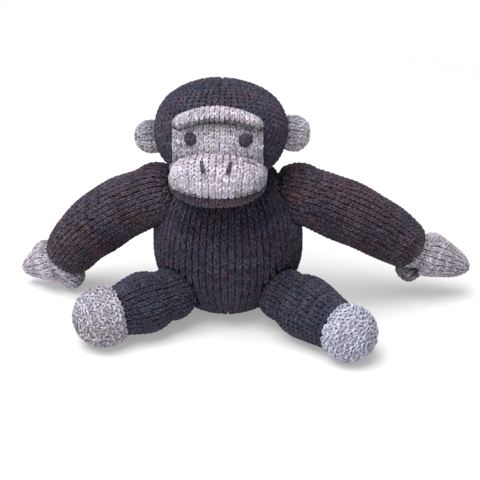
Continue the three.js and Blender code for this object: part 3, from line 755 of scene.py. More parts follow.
@dataclass(frozen=True)
class StitchTree:
    """Geometry nodes that lay a loop of yarn at each place of a fabric.

    Args:
        loop: The shape that is laid.
        thickness: Radius of the yarn, as a share of the stitch's width.
        splay: How far apart a stitch's legs end, as a share of its width.
        overlap: How far a stitch reaches beyond its row, as a share of its height.
        sides: Faces round the yarn.
        steps: Faces along it.
        wobble: The most that a stitch is turned out of line, in radians.
    """

    loop: Loop
    thickness: float = 0.215
    splay: float = 0.31
    overlap: float = 0.28
    sides: int = 6
    steps: int = 3
    wobble: float = 0.11

    def tree(self) -> bpy.types.NodeTree:
        """Builds the tree, or finds it if it is there.

        Returns:
            The tree, with its sizes as inputs.
        """
        found = bpy.data.node_groups.get(self.loop.value)
        if found:
            return found
        tree = bpy.data.node_groups.new(self.loop.value, "GeometryNodeTree")
        wiring = Wiring(tree)
        wiring.sockets(
            "INPUT",
            Geometry=("Geometry",),
            Float=("Yarn Thickness", "Leg Splay", "Row Overlap", "Wobble"),
            Int=("Sides", "Steps", "Seed"),
            Material=("Yarn",),
        )
        wiring.sockets("OUTPUT", Geometry=("Geometry",))
        given = wiring.node("NodeGroupInput").outputs
        wire, calc = wiring.wire, wiring.calc

        def point(x: object, y: object, z: object) -> Wire:
            """A place from three sockets or numbers."""
            return wire("ShaderNodeCombineXYZ", {0: x, 1: y, 2: z})

        def stored(name: str) -> Wire:
            """A vector stored at each place."""
            node = wiring.node("GeometryNodeInputNamedAttribute", {"Name": name}, data_type="FLOAT_VECTOR")
            return next(s for s in node.outputs if s.enabled and s.name == "Attribute")

        reach, splay = calc("ADD", 0.5, given["Row Overlap"]), given["Leg Splay"]
        back = calc("MULTIPLY", reach, -1)
        if self.loop is Loop.KNITTED:
            knee = calc("MULTIPLY", splay, 0.7)
            bends = (point(0.06, back, 0.1), point(knee, -0.1, 0.5), point(splay, reach, -0.36))
        elif self.loop is Loop.PURLED:
            wide, peak = calc("ADD", 0.3, splay), calc("MULTIPLY", reach, 2.2)
            other = calc("MULTIPLY", wide, -1)
            bends = (point(other, back, -0.15), point(0, peak, 0.6), point(wide, back, -0.15))
        else:
            bends = (point(0, back, -0.3), point(0, 0, 0.5), point(0, reach, -0.3))
        line = {"Resolution": given["Steps"], "Start": bends[0], "Middle": bends[1], "End": bends[2]}
        along = wiring.node("GeometryNodeSplineParameter").outputs["Factor"]
        hump = calc("POWER", calc("SINE", calc("MULTIPLY", along, math.pi)), 0.6)
        section = {"Resolution": given["Sides"], "Radius": given["Yarn Thickness"]}
        tube = wire("GeometryNodeCurveToMesh", {
            "Curve": wire("GeometryNodeCurveQuadraticBezier", line),
            "Scale": calc("ADD", 0.5, calc("MULTIPLY", hump, 0.56)),
            "Profile Curve": wire("GeometryNodeCurvePrimitiveCircle", section),
            "Fill Caps": True,
        })
        spot = wiring.node("ShaderNodeSeparateXYZ", {0: wire("GeometryNodeInputPosition")}).outputs
        twist = calc("ADD", calc("MULTIPLY", spot[0], 2.2), calc("MULTIPLY", spot[1], 2.6))
        ply = {"Geometry": tube, "Name": "ply", "Value": twist}
        yarn = wire("GeometryNodeStoreNamedAttribute", ply, data_type="FLOAT", domain="POINT")
        if self.loop is Loop.KNITTED:
            leg = wire("GeometryNodeTransform", {"Geometry": yarn, "Scale": (-1, 1, 1)})
            pair = wiring.node("GeometryNodeJoinGeometry", {0: wire("GeometryNodeFlipFaces", {0: leg})})
            wiring.fit(pair, {0: yarn})
            yarn = pair.outputs[0]
        laid = wire("GeometryNodeInstanceOnPoints", {
            "Points": given["Geometry"],
            "Instance": yarn,
            "Rotation": wire("FunctionNodeEulerToRotation", {0: stored("turn")}),
            "Scale": stored("size"),
        })
        most = given["Wobble"]
        least = calc("MULTIPLY", most, -1)
        limits = {0: point(least, least, least), 1: point(most, most, most), "Seed": given["Seed"]}
        chance = wire("FunctionNodeRandomValue", limits, data_type="FLOAT_VECTOR")
        uneven = wire("GeometryNodeRotateInstances", {"Instances": laid, "Rotation": chance})
        smooth = wire("GeometryNodeSetShadeSmooth", {0: wire("GeometryNodeRealizeInstances", {0: uneven})})
        dressed = wire("GeometryNodeSetMaterial", {"Geometry": smooth, "Material": given["Yarn"]})
        wiring.node("NodeGroupOutput", {0: dressed})
        return tree

    def lay(self, stitches: Stitches, yarn: Yarn, name: str, seed: int) -> bpy.types.Mesh:
        """Turns places into a plain mesh of yarn, none of it below the floor.

        Args:
            stitches: Where the loops lie.
            yarn: What they are made of.
            name: The mesh's name.
            seed: For the wobble.

        Returns:
            The mesh, in metres.
        """
        cloud = bpy.data.meshes.new(f"{name}_places")
        cloud.from_pydata((np.concatenate(stitches.places) * MM).tolist(), [], [])
        vectors = {"turn": np.concatenate(stitches.turns), "size": np.concatenate(stitches.sizes) * MM}
        for label, values in vectors.items():
            cloud.attributes.new(label, "FLOAT_VECTOR", "POINT").data.foreach_set("vector", values.ravel())
        cloud.attributes.new("tone", "FLOAT", "POINT").data.foreach_set("value", np.concatenate(stitches.tones))
        work = bpy.data.objects.new(f"{name}_places", cloud)
        bpy.context.scene.collection.objects.link(work)
        tree = self.tree()
        modifier = work.modifiers.new("stitches", "NODES")
        modifier.node_group = tree
        values = {
            "Yarn Thickness": self.thickness,
            "Leg Splay": self.splay,
            "Row Overlap": self.overlap,
            "Wobble": self.wobble,
            "Sides": self.sides,
            "Steps": self.steps,
            "Seed": seed,
            "Yarn": yarn.material(),
        }
        for item in tree.interface.items_tree:
            if item.in_out == "INPUT" and item.name in values:
                modifier[item.identifier] = values[item.name]
        bpy.context.view_layer.update()
        seen = work.evaluated_get(bpy.context.evaluated_depsgraph_get())
        mesh = bpy.data.meshes.new_from_object(seen)
        mesh.name = name
        mesh.materials.clear()
        mesh.materials.append(yarn.material())
        mesh.polygons.foreach_set("material_index", [0] * len(mesh.polygons))
        for spare in vectors:
            mesh.attributes.remove(mesh.attributes[spare])
        work.modifiers.clear()
        bpy.data.objects.remove(work)
        bpy.data.meshes.remove(cloud)
        spots = np.empty(len(mesh.vertices) * 3)
        mesh.vertices.foreach_get("co", spots)
        spots[2::3] = np.maximum(spots[2::3], FLOOR)
        mesh.vertices.foreach_set("co", spots)
        return mesh


KNITTED = StitchTree(Loop.KNITTED)
SNUG = StitchTree(Loop.KNITTED, thickness=0.24, splay=0.37)
CLOSE = StitchTree(Loop.KNITTED, thickness=0.245, splay=0.33, overlap=0.36)
PURLED = StitchTree(Loop.PURLED, thickness=0.27, splay=0.18, overlap=-0.1, steps=5, wobble=0.4)
STRAND = StitchTree(Loop.STRAND, thickness=0.5, overlap=-0.08, sides=7, steps=5, wobble=0.03)


@dataclass
class Piece:
    """A finished piece and what it stands for.

    Args:
        name: The object's name.
        yarn: What shows of it.
        body: The body that it moves with.
        node: The part's node that it stands for.
        fill: How full it is stuffed, or None where it isn't; not used.
    """

    name: str
    yarn: Yarn
    body: str
    node: str
    fill: Optional[float] = None

    def joined(self, meshes: Sequence[bpy.types.Mesh]) -> bpy.types.Object:
        """Makes one object of the piece's meshes.

        Args:
            meshes: The meshes, which are used up.

        Returns:
            The object, at the origin.
        """
        parts = []
        for mesh in meshes:
            if not mesh.materials:
                mesh.materials.append(self.yarn.material())
            part = bpy.data.objects.new(self.name, mesh)
            bpy.context.scene.collection.objects.link(part)
            parts.append(part)
        made = parts[0]
        if len(parts) > 1:
            with bpy.context.temp_override(
                active_object=made, object=made, selected_objects=parts, selected_editable_objects=parts
            ):
                bpy.ops.object.join()
        made.name = self.name
        made.data.name = self.name
        return made

    def settle(self, *meshes: bpy.types.Mesh) -> None:
        """Joins the piece's meshes and gives it its place in the part.

        Args:
            meshes: The meshes, which are used up.
        """
        made = self.joined(meshes)
        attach(made, self.body)
        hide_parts(self.node)
        LOG.info("%s: %d faces", self.name, len(made.data.polygons))

    def knitted(self, back: bpy.types.Mesh, stitches: Stitches, tree: StitchTree, seed: int) -> None:
        """Settles the piece as a back with its stitches laid over it.

        Args:
            back: What lies behind the stitches.
            stitches: Where they lie.
            tree: What lays them.
            seed: For their wobble.
        """
        self.settle(back, tree.lay(stitches, self.yarn, f"{self.name}_stitches", seed))


def stuff(place: str, body: str, fill: float, inside: Fabric) -> None:
    """Makes the stuffing of a cover.

    Args:
        place: The cover's place, as it stands in the part's names.
        body: The body that it moves with.
        fill: How full the cover is.
        inside: The stuffing's surface.
    """
    name = f"{place}_filling"
    Piece(name, FIBRE, body, f"{place}_stuffing", fill).settle(inside.mesh(name))


# Forms shared with the part


def swollen(half: Sequence[float], power: float, rows: int, columns: int, pole: int = 2, lean: float = 0.0) -> Array:
    """Points over a sphere swollen towards a box, in rows from one pole to the other.

    Args:
        half: Half its width, depth and height.
        power: Two is an ellipsoid, and more is boxier.
        rows: Rows of points.
        columns: Points in each row.
        pole: The axis that the rows go along, 0 for X or 2 for Z.
        lean: How far the upper pole leans to the back, in degrees.

    Returns:
        Rows by columns by three.
    """
    polar = np.linspace(1e-3, math.pi - 1e-3, rows)[:, None]
    round_ = circle(columns)[None, :]
    ring = [np.sin(polar) * np.cos(round_), np.sin(polar) * np.sin(round_), np.cos(polar) * np.ones_like(round_)]
    ways = np.stack([ring[i] for i in ((0, 1, 2) if pole == 2 else (2, 0, 1))], axis=-1)
    c, s = math.cos(math.radians(lean)), math.sin(math.radians(lean))
    ways = ways @ np.array([[1, 0, 0], [0, c, -s], [0, s, c]])
    reach = (np.abs(ways) ** power).sum(axis=-1, keepdims=True) ** (-1 / power)
    return ways * reach * np.asarray(half, float)


def bulge(half: Sequence[float], power: float, x: Array, z: Array) -> Array:
    """How far such a form stands to the front at places across it and above its middle."""
    left = 1 - np.abs(x / half[0]) ** power - np.abs(z / half[2]) ** power
    return half[1] * np.maximum(left, 0) ** (1 / power)


def spline(knots: Array, count: int) -> Array:
    """A smooth line through points.

    Args:
        knots: The points.
        count: How many steps to take along it.

    Returns:
        The line's points.
    """
    made = []
    for t in np.linspace(0, len(knots) - 1, count + 1):
        i = min(int(t), len(knots) - 2)
        f = t - i
        p1, p2 = knots[i], knots[i + 1]
        p0 = knots[i - 1] if i else p1
        p3 = knots[i + 2] if i + 2 < len(knots) else p2
        a, b = (p2 - p0) / 2, (p3 - p1) / 2
        made.append((2 * p1 - 2 * p2 + a + b) * f**3 + (-3 * p1 + 3 * p2 - 2 * a - b) * f**2 + a * f + p1)
    return np.array(made)


def limb_outline(ball: float, stations: Sequence[tuple[float, float]], leaves: float) -> Array:
    """Radius and distance along a limb: the ball's back, then a curve through stations.

    Args:
        ball: Width of the ball.
        stations: Distance along and width at each.
        leaves: Where the curve leaves the ball, in degrees from the limb's axis.

    Returns:
        Points of radius and distance.
    """
    leave = math.radians(leaves)
    turn = math.pi - (math.pi - leave) * np.linspace(0.002, 1, 26)
    arc = np.stack([np.sin(turn), np.cos(turn)], axis=-1) * ball / 2
    knots = np.array([arc[-1], *[(wide / 2, along) for along, wide in stations]])
    return np.concatenate([arc[:-1], spline(knots, 60)])


def even(line: Array, rows: int) -> Array:
    """A line's points set out again at even steps.

    Args:
        line: The points.
        rows: How many to make.

    Returns:
        The new points.
    """
    run = np.concatenate([[0], np.cumsum(np.linalg.norm(np.diff(line, axis=0), axis=-1))])
    want = np.linspace(0, run[-1], rows)
    return np.stack([np.interp(want, run, line[:, i]) for i in range(line.shape[1])], axis=-1)


def turned(outline: Array, columns: int) -> Array:
    """An outline of radius and distance turned about +Y.

    Args:
        outline: The points.
        columns: Points in each row.

    Returns:
        Rows by columns by three.
    """
    round_ = circle(columns)
    radius, along = outline[:, :1], outline[:, 1:]
    return np.stack([radius * np.sin(round_), along * np.ones_like(round_), radius * np.cos(round_)], axis=-1)


def bent(points: Array, length: float, angle: float) -> Array:
    """Points of a limb bent evenly towards its +X.

    Args:
        points: The straight limb, along +Y.
        length: How much of it bends.
        angle: In radians.

    Returns:
        The bent limb.
    """
    rate = angle / length
    along = np.clip(points[..., 1], 0, length)
    turn = rate * along
    beyond = points[..., 1] - along
    x = (1 - np.cos(turn)) / rate + points[..., 0] * np.cos(turn) + beyond * np.sin(turn)
    y = np.sin(turn) / rate - points[..., 0] * np.sin(turn) + beyond * np.cos(turn)
    return np.stack([x, y, points[..., 2]], axis=-1)


@dataclass
class Pose:
    """A frame of its own that a limb is built in: where it is and which way its axes go."""

    middle: Array
    axes: Array

    @classmethod
    def along(cls, middle: Array, way: Array, towards: Array) -> "Pose":
        """A frame with its +Y along one direction and its +X as near another as can be.

        Args:
            middle: Where it is.
            way: The way that its +Y goes.
            towards: What its +X is near.

        Returns:
            The frame.
        """
        y = unit(way)
        z = unit(np.cross(towards, y))
        return cls(middle, np.stack([np.cross(y, z), y, z], axis=-1))

    def out(self, points: Array) -> Array:
        """The frame's own points as the part's."""
        return points @ self.axes.T + self.middle

    def own(self, places: Array) -> Array:
        """The part's places as the frame's own."""
        return (places - self.middle) @ self.axes

    def beyond(self, axis: int, least: float) -> Mask:
        """Says which of the part's places lie further along one of the frame's axes than a distance."""
        return lambda places: self.own(places)[:, axis] > least


# Sub-assemblies


@dataclass
class Torso:
    """The body: an egg that sits flat, hollowed where the head and limbs are sewn in."""

    width: float = 121
    depth: float = 103
    height: float = 134
    widest: float = 56  # How high it is widest.
    under: float = 59.3  # How far the egg would reach below that, were it not flat.
    fullness: float = 2.2  # Of its top, where two is an ellipse.
    seat: float = 40  # Width of the flat that it sits on.
    dish_room: float = 2.8  # How far a dish's wall lies from the ball in it.
    columns: int = 64
    gauge: Gauge = Gauge()
    stuffing: Stuffing = Stuffing(seed=3, length=60, lump=0.7, slack=0.6, pressure=1.2, cap=1.5)
    dishes: list[tuple[Array, float]] = field(default_factory=list)  # Middle and radius of each.

    def __post_init__(self) -> None:
        """Sets out the dishes that the limbs and the head sit in."""
        for _, joint, ball in SEWN_IN:
            self.dishes.append((joint_place(joint), ball / 2 + self.dish_room))

    def egg(self, room: float, rows: int = 44, columns: int = 64) -> Array:
        """The body's form before it is hollowed.

        Args:
            room: How far outside the body's own surface.
            rows: Rows of points from crown to seat.
            columns: Points in each row.

        Returns:
            Rows by columns by three.
        """
        half = self.width / 2 + room
        rise = self.height - self.widest + room
        drop = self.widest / math.sqrt(1 - (self.seat / self.width) ** 2) + room
        up = np.linspace(math.pi / 2 - 0.002, 0, 40)
        upper = np.stack([half * np.cos(up), self.widest + rise * np.sin(up) ** (2 / self.fullness)], axis=-1)
        low = np.linspace(0, math.asin((self.widest + room) / drop), 40)[1:]
        under = np.stack([half * np.cos(low), self.widest - drop * np.sin(low)], axis=-1)
        line = np.concatenate([upper, under, [[POLE, -room]]])
        grid = turned(even(line, rows), columns)
        made = np.stack([grid[..., 0], -grid[..., 2], grid[..., 1]], axis=-1)
        made[..., 1] *= (self.depth / 2 + room) / half
        return made

    def depth_in(self, points: Array) -> Array:
        """Roughly how deep points lie inside the egg.

        Args:
            points: With three as the last size.

        Returns:
            A depth for each, in millimetres, which is below zero outside.
        """
        half, deep = self.width / 2, self.depth / 2
        z = points[..., 2]
        rise = np.maximum((z - self.widest) / (self.height - self.widest), 0) ** self.fullness
        drop = np.maximum((self.widest - z) / self.under, 0) ** 2
        share = (points[..., 0] / half) ** 2 + (points[..., 1] / deep) ** 2 + np.where(z > self.widest, rise, drop)
        return (1 - np.sqrt(share)) * deep

    def top(self, points: Array, room: float) -> Array:
        """How high the body's top is at the places of points.

        Args:
            points: With three as the last size.
            room: How far outside the body's own surface.

        Returns:
            A height for each.
        """
        half, deep = self.width / 2 + room, self.depth / 2 + room
        share = (points[..., 0] / half) ** 2 + (points[..., 1] / deep) ** 2
        rise = self.height - self.widest + room
        return self.widest + rise * np.maximum(1 - share, 0) ** (1 / self.fullness)

    def hollow(self, points: Array, wall: float = 0.0) -> Array:
        """Sinks points that lie in a dish on to its wall, towards the middle of the body.

        Args:
            points: Points over the body.
            wall: How far outside the dish they end.

        Returns:
            The points, with those in a dish moved.
        """
        made = points.copy()
        core = np.array([0, 0, self.widest])
        for middle, radius in self.dishes:
            inward = unit(core - middle)
            way = made - middle
            ahead = way @ inward
            short = (way**2).sum(axis=-1) - (radius + wall) ** 2
            reach = -ahead + np.sqrt(np.maximum(ahead**2 - short, 0))
            made = np.where((short < 0)[..., None], made + reach[..., None] * inward, made)
        return made

    def near_dish(self, points: Array, margin: float) -> Array:
        """Which points lie in a dish or within a margin of it.

        Args:
            points: With three as the last size.
            margin: How far outside the dish still counts.

        Returns:
            True or false for each.
        """
        near = np.zeros(points.shape[:-1], bool)
        for middle, radius in self.dishes:
            near |= np.linalg.norm(points - middle, axis=-1) < radius + margin
        return near

    def build(self) -> None:
        """Makes the body's cover and its stuffing."""
        grid = self.egg(room=0)
        on_seat = grid[..., 2] < 1.5
        soft = self.stuffing.fill(Fabric(grid), self.near_dish(grid, margin=3) | on_seat, "body_cloth").lifted(0)

        def keep(places: Array) -> Array:
            """Leaves out what lies in a dish."""
            return ~self.near_dish(places, margin=-1.5)

        stitches = knit(soft, self.gauge, self.columns, seed=11, keep=keep)
        back = self.gauge.behind(soft)
        back.points = self.hollow(back.points)
        cover = Piece("body_knit", DARK_TWEED, "torso", "body_cover", fill=0.8)
        cover.knitted(back.lifted(0.3).mesh("body_back"), stitches, KNITTED, seed=1)
        filling = Fabric(self.egg(room=-7, rows=30, columns=40))
        filling = filling.moved(lumps(filling.points, seed=5, height=0.8, length=22))
        filling.points = self.hollow(filling.points, wall=6)
        stuff("body", "torso", fill=0.8, inside=filling)


@dataclass
class Seams:
    """The rings of sewing yarn round the neck, shoulders and hips, and the knots that fasten them off.

    Args:
        yarn: Thickness of the yarn.
        spacing: How far apart the stitches of a ring are.
        stitch: Length of one.
    """

    yarn: float = 2.2
    spacing: float = 4.6
    stitch: float = 5.4

    def ring(self, place: str, joint: str) -> None:
        """Makes one seam as stitches laid over and over round the joint.

        Args:
            place: Where the seam is.
            joint: The joint at the middle of the limb's ball.
        """
        name, node = f"{place}_sewing", f"{place}_seam"
        points = np.array([v.co for v in frame["nodes"][node].data.vertices]) / MM
        middle = points.mean(axis=0)
        _, _, axes = np.linalg.svd(points - middle, full_matrices=False)
        radius = np.linalg.norm(points - middle, axis=-1).mean()
        count = max(12, round(2 * math.pi * radius / self.spacing))
        turn = circle(count)[:, None]
        spoke = np.cos(turn) * axes[0] + np.sin(turn) * axes[1]
        ahead = -np.sin(turn) * axes[0] + np.cos(turn) * axes[1]
        places = middle + spoke * radius
        slant = unit(ahead * 0.9 + axes[2] * 0.45)
        out = unit(places - joint_place(joint))
        size = np.array([self.yarn * 0.9, self.stitch, self.yarn * 0.9])
        rng = np.random.default_rng(len(name))
        laid = Stitches()
        laid.add(places, slant, out, size, 0.45 + rng.normal(size=count) * 0.05)
        Piece(name, DARK_TWEED, "torso", node).settle(STRAND.lay(laid, DARK_TWEED, name, seed=3))

    def knot(self, place: str, steps: int = 72, sides: int = 8) -> None:
        """Makes a knot of yarn drawn tight.

        Args:
            place: Where the seam is that it fastens off, which is also the body that it moves with.
            steps: Faces along the yarn.
            sides: Faces round it.
        """
        name, node = f"{place}_fastening", f"{place}_knot"
        low, high = (np.array(c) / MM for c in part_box(node))
        middle, reach = (low + high) / 2, (high - low).min() / 2 - self.yarn / 2
        turn = circle(steps)
        line = np.stack(
            [np.sin(turn) + 2 * np.sin(2 * turn), np.cos(turn) - 2 * np.cos(2 * turn), -1.6 * np.sin(3 * turn)],
            axis=-1,
        ) * reach / 3.1
        ahead = unit(np.roll(line, -1, axis=0) - np.roll(line, 1, axis=0))
        side = unit(np.cross(ahead, UP + 0.01))
        over = np.cross(side, ahead)
        section = circle(sides)[:, None]
        tube = line[:, None] + (np.cos(section) * side[:, None] + np.sin(section) * over[:, None])
        index = np.arange(steps * sides).reshape(steps, sides)
        after, beside = np.roll(index, -1, axis=0), np.roll(index, -1, axis=1)
        faces = np.stack([index, beside, np.roll(after, -1, axis=1), after], axis=-1).reshape(-1, 4).tolist()
        Piece(name, DARK_TWEED, place, node).settle(plain_mesh(name, (tube + middle).reshape(-1, 3), faces))

    def build(self) -> None:
        """Makes all five seams and their knots."""
        for place, joint, _ in SEWN_IN:
            self.ring(place, joint)
            self.knot(place)


@dataclass(frozen=True)
class Eye:
    """An embroidered eye.

    Args:
        x: Its place across the head.
        z: Its place above the head's middle.
        wide: Half its width.
        long: Its height.
        strands: How many strands lie side by side in a layer.
    """

    x: float
    z: float
    wide: float
    long: float
    strands: int = 6


@dataclass(frozen=True)
class Ear:
    """A flat half-round of double knitting.

    Args:
        drop: How far it sits below the middle of the head.
        tall: Half its height.
        shade: What is added to its tone.
        reach: How far it stands out.
        sunk: How far its form goes on inside the head.
        thick: Its thickness.
        edge: Its thickness where it is sewn on.
        behind: How far it sits behind the middle of the head.
    """

    drop: float
    tall: float
    shade: float
    reach: float = 16.3
    sunk: float = 10.0
    thick: float = 9.0
    edge: float = 2.6
    behind: float = 3


EYES = {
    Side.LEFT: Eye(x=20.6, z=10.4, wide=4.6, long=8.9),
    Side.RIGHT: Eye(x=-19.6, z=10.6, wide=4.3, long=8.7),
}
EARS = {
    Side.LEFT: Ear(drop=3.0, tall=15.0, shade=-0.1),
    Side.RIGHT: Ear(drop=8.6, tall=13.8, shade=-0.26),
}


@dataclass
class Head:
    """The head with its face: a wide dome on the neck, a pale panel, brow, eyes, muzzle, nostrils and ears."""

    torso: Torso
    half: tuple[float, float, float] = (53, 43.5, 37.5)  # Half its width, depth and height.
    fullness: float = 2.2  # Two is an ellipsoid, and more is boxier.
    turn: float = -3.5  # To its own left, in degrees.
    middle: tuple[float, float, float] = (-2, -4, 35.5)  # From the neck's joint.
    slim: float = 0.05  # How far its upper part is drawn in at the sides, as a share of its width.
    columns: int = 64
    neck_ball: float = NECK_BALL
    neck_room: float = 4.8  # How far its underside stays off the body.
    panel: float = 2.4  # Thickness of the face panel.
    panel_half: float = 34
    panel_top: float = 26  # From the head's middle, as the bottom is.
    panel_bottom: float = -30
    brow_half: float = 31.2
    brow_thick: float = 6.4
    brow_rise: float = 26.5  # From the head's middle.
    brow_droop: float = 8.5  # How far its ends hang.
    brow_out: float = 3.5
    muzzle_half: tuple[float, float, float] = (37, 26, 21.5)
    muzzle_fullness: float = 2.5
    muzzle_set: float = 6  # How far the muzzle's middle lies inside the head's front.
    muzzle_drop: float = 21  # How far it lies below the head's middle.
    mouth: float = -6.5  # How high the mouth is from the muzzle's middle.
    mouth_rise: float = 4.0  # How far its ends turn up.
    crease: float = 1.7  # How far it is drawn in.
    gauge: Gauge = Gauge(back=0.42)
    pale: Gauge = Gauge(width=4.2, height=3.7, depth=4.0, back=0.44)
    brow_gauge: Gauge = Gauge(width=4.1, height=3.4, depth=3.6)
    ear_gauge: Gauge = Gauge(width=4.6, height=3.8, depth=3.0, back=0.44)
    stuffing: Stuffing = Stuffing(seed=8, length=50)
    muzzle_stuffing: Stuffing = Stuffing(seed=13, length=30, lump=0.4, slack=0.4, pressure=0.8, cap=0.8)

    def __post_init__(self) -> None:
        """Places the head on its neck."""
        self.neck = joint_place("head_nod")
        self.pose = Pose(self.neck, about_z(math.radians(self.turn)))
        self.centre = np.array(self.middle, float)
        self.muzzle_centre = self.centre + [0, -self.half[1] + self.muzzle_set, -self.muzzle_drop]

    def from_middle(self, places: Array) -> Array:
        """The part's places as they lie from the head's middle, in its own frame."""
        return self.pose.own(places) - self.centre

    def front(self, x: Array, z: Array, out: float = 0.0) -> Array:
        """The head's front at places across it and above its middle, in its own frame."""
        y = -bulge([h + out for h in self.half], self.fullness, x, z)
        return np.stack([x, y, z], axis=-1) + self.centre

    def outside(self, points: Array, out: float) -> Array:
        """Moves points out of the head's form.

        Args:
            points: In the head's own frame.
            out: How far the form is grown first.

        Returns:
            The points, with those inside moved on to the form.
        """
        way = points - self.centre
        half = np.array(self.half) + out
        share = (np.abs(way / half) ** self.fullness).sum(axis=-1, keepdims=True) ** (1 / self.fullness)
        return np.where(share < 1, self.centre + way / np.maximum(share, 1e-6), points)

    def inside(self, points: Array, out: float) -> Array:
        """Which points of the head's frame lie in its form, grown by a distance."""
        way = np.abs((points - self.centre) / (np.array(self.half) + out)) ** self.fullness
        return way.sum(axis=-1) < 1

    def clear_of(self, out: float) -> Mask:
        """Says which of the part's places lie outside the head's form, grown by a distance."""
        return lambda places: ~self.inside(self.pose.own(places), out)

    def on_neck(self, points: Array) -> Array:
        """Settles the underside of the head: clear of the body, with the rounded neck below it.

        Args:
            points: Points over the head.

        Returns:
            The points, with those of the underside moved.
        """
        made = points.copy()
        deep = self.torso.depth_in(made) > -self.neck_room
        lid = self.torso.top(made, self.neck_room)
        low = made[..., 2] < self.neck[2] + self.centre[2]
        made[..., 2] = np.where(low & deep & (made[..., 2] < lid), lid, made[..., 2])
        flat = np.linalg.norm((made - self.neck)[..., :2], axis=-1)
        radius = self.neck_ball / 2 - 1.2
        ball = self.neck[2] - np.sqrt(np.maximum(radius**2 - flat**2, 0))
        under = low & (flat < radius) & (points[..., 2] < self.neck[2] + 16)
        made[..., 2] = np.where(under, ball, made[..., 2])
        return made

    def build(self) -> None:
        """Makes the head's cover, its stuffing and everything on its face."""
        self.build_cover()
        self.build_panel()
        self.build_brow()
        for side in Side:
            self.build_eye(side, EYES[side])
        self.build_muzzle()
        for side in Side:
            self.build_nostril(side)
        for side in Side:
            self.build_ear(side, EARS[side])

    def build_cover(self) -> None:
        """Makes the head's cover and its stuffing."""
        form = swollen(self.half, self.fullness, rows=44, columns=60, lean=42)
        form[..., 0] *= 1 - self.slim * ramp(form[..., 2], start=-24, run=16)
        grid = self.pose.out(form + self.centre)
        soft = self.stuffing.fill(Fabric(grid), grid[..., 2] < self.neck[2] + 10, "head_cloth")

        def keep(places: Array) -> Array:
            """Leaves out what the panel covers and what lies on the neck.

            Args:
                places: The places, one to a row.

            Returns:
                Which of them get a stitch.
            """
            own, lap, lowest = self.from_middle(places), 4, -31
            covered = (np.abs(own[:, 0]) < self.panel_half - lap) & (own[:, 2] < self.panel_top - lap)
            covered &= (own[:, 2] > self.panel_bottom) & (own[:, 1] < 0)
            return ~covered & (self.torso.depth_in(places) < -3) & (own[:, 2] > lowest)

        def shade(places: Array) -> Array:
            """Paints shade on the sides of the head, darker towards their edges."""
            aside = np.abs(self.from_middle(places)[:, 0]) / self.half[0]
            return -0.12 * ramp(aside, start=0.62, run=0.3)

        stitches = knit(soft, self.gauge, self.columns, seed=21, keep=keep, shade=shade)
        back = self.gauge.behind(soft)
        back.points = self.on_neck(back.points)
        # The back's tone is lifted, which lightens the painted shade in the gaps between its stitches.
        cover = Piece("head_knit", DARK_TWEED, "head", "head_cover", fill=0.8)
        cover.knitted(back.mesh("head_back", shade=all_over(0.2)), stitches, CLOSE, seed=2)
        inner = swollen(np.array(self.half) - FILL_IN, self.fullness, rows=26, columns=36)
        filling = Fabric(self.pose.out(inner + self.centre))
        filling = filling.moved(lumps(filling.points, seed=9, height=0.7, length=20))
        stuff("head", "head", fill=0.8, inside=filling.lifted(self.neck[2] + 20))

    def build_panel(self) -> None:
        """Makes the pale panel of the face, with its corners rounded."""
        a, b = np.meshgrid(np.linspace(-1, 1, 30), np.linspace(1, -1, 26))
        most = np.maximum(np.maximum(np.abs(a), np.abs(b)), 1e-6)
        shrink = most / (np.abs(a) ** 5 + np.abs(b) ** 5) ** 0.2
        middle, tall = (self.panel_top + self.panel_bottom) / 2, (self.panel_top - self.panel_bottom) / 2
        spread = self.front(a * shrink * self.panel_half, middle + b * shrink * tall, self.panel + 0.4)
        fabric = Fabric(self.pose.out(spread), closed=False, out=np.array([0.0, -1.0, 0.0]))

        def shade(places: Array) -> Array:
            """Paints shade under the brow and in the fold over the muzzle, on a tone lifted a little overall.

            Args:
                places: The places, one to a row.

            Returns:
                What is added to the tone of each.
            """
            own = self.from_middle(places)
            upper = ramp(own[:, 2] + 8 * (own[:, 0] / 32) ** 2, start=14, run=5)
            return 0.09 - 0.36 * upper - 0.22 * ramp(-own[:, 2], start=-4, run=4)

        stitches = knit(fabric, self.pale, columns=17, seed=31, shade=shade)
        back = fabric.moved(-1.8).mesh("panel_back", back=0.8)
        Piece("face_knit", PALE_MARL, "head", "face_panel").knitted(back, stitches, SNUG, seed=4)

    def build_brow(self) -> None:
        """Makes the brow: the panel's top edge rolled over into a ridge that droops at its ends."""
        along = np.linspace(-0.999, 0.999, 44)
        turn = circle(24)
        line = self.front(self.brow_half * along, self.brow_rise - self.brow_droop * along**2)
        spine = line - [0, self.brow_out, 0]
        girth = self.brow_thick * (1 - np.abs(along) ** 5) ** (1 / 5)
        ring = np.stack([np.zeros_like(turn), np.cos(turn), np.sin(turn)], axis=-1)
        points = spine[:, None] + ring[None] * girth[:, None, None]
        roll = Fabric(self.pose.out(self.outside(points, self.panel)))

        def shade(places: Array) -> Array:
            """Paints shade on the underside of the roll.

            Args:
                places: The places, one to a row.

            Returns:
                What is added to the tone of each.
            """
            own = self.from_middle(places)
            below = self.brow_rise - self.brow_droop * (own[:, 0] / self.brow_half) ** 2 - own[:, 2]
            return -0.6 * ramp(below, start=-2.5, run=4.5)

        keep = self.clear_of(self.panel + 0.2)
        stitches = knit(roll.crossed(), self.brow_gauge, columns=17, seed=41, keep=keep, shade=shade)
        # The back has the same painted shade as the stitches.
        back = roll.moved(-1.9).mesh("brow_back", shade=shade)
        Piece("brow_knit", PALE_MARL, "head", "brow_ridge", fill=0.5).knitted(back, stitches, SNUG, seed=5)

    def embroider(self, node: str, laid: Stitches, seed: int) -> None:
        """Makes an eye or a nostril of its strands."""
        Piece(f"{node}_embroidery", EYE_YARN, "head", node).settle(STRAND.lay(laid, EYE_YARN, node, seed))

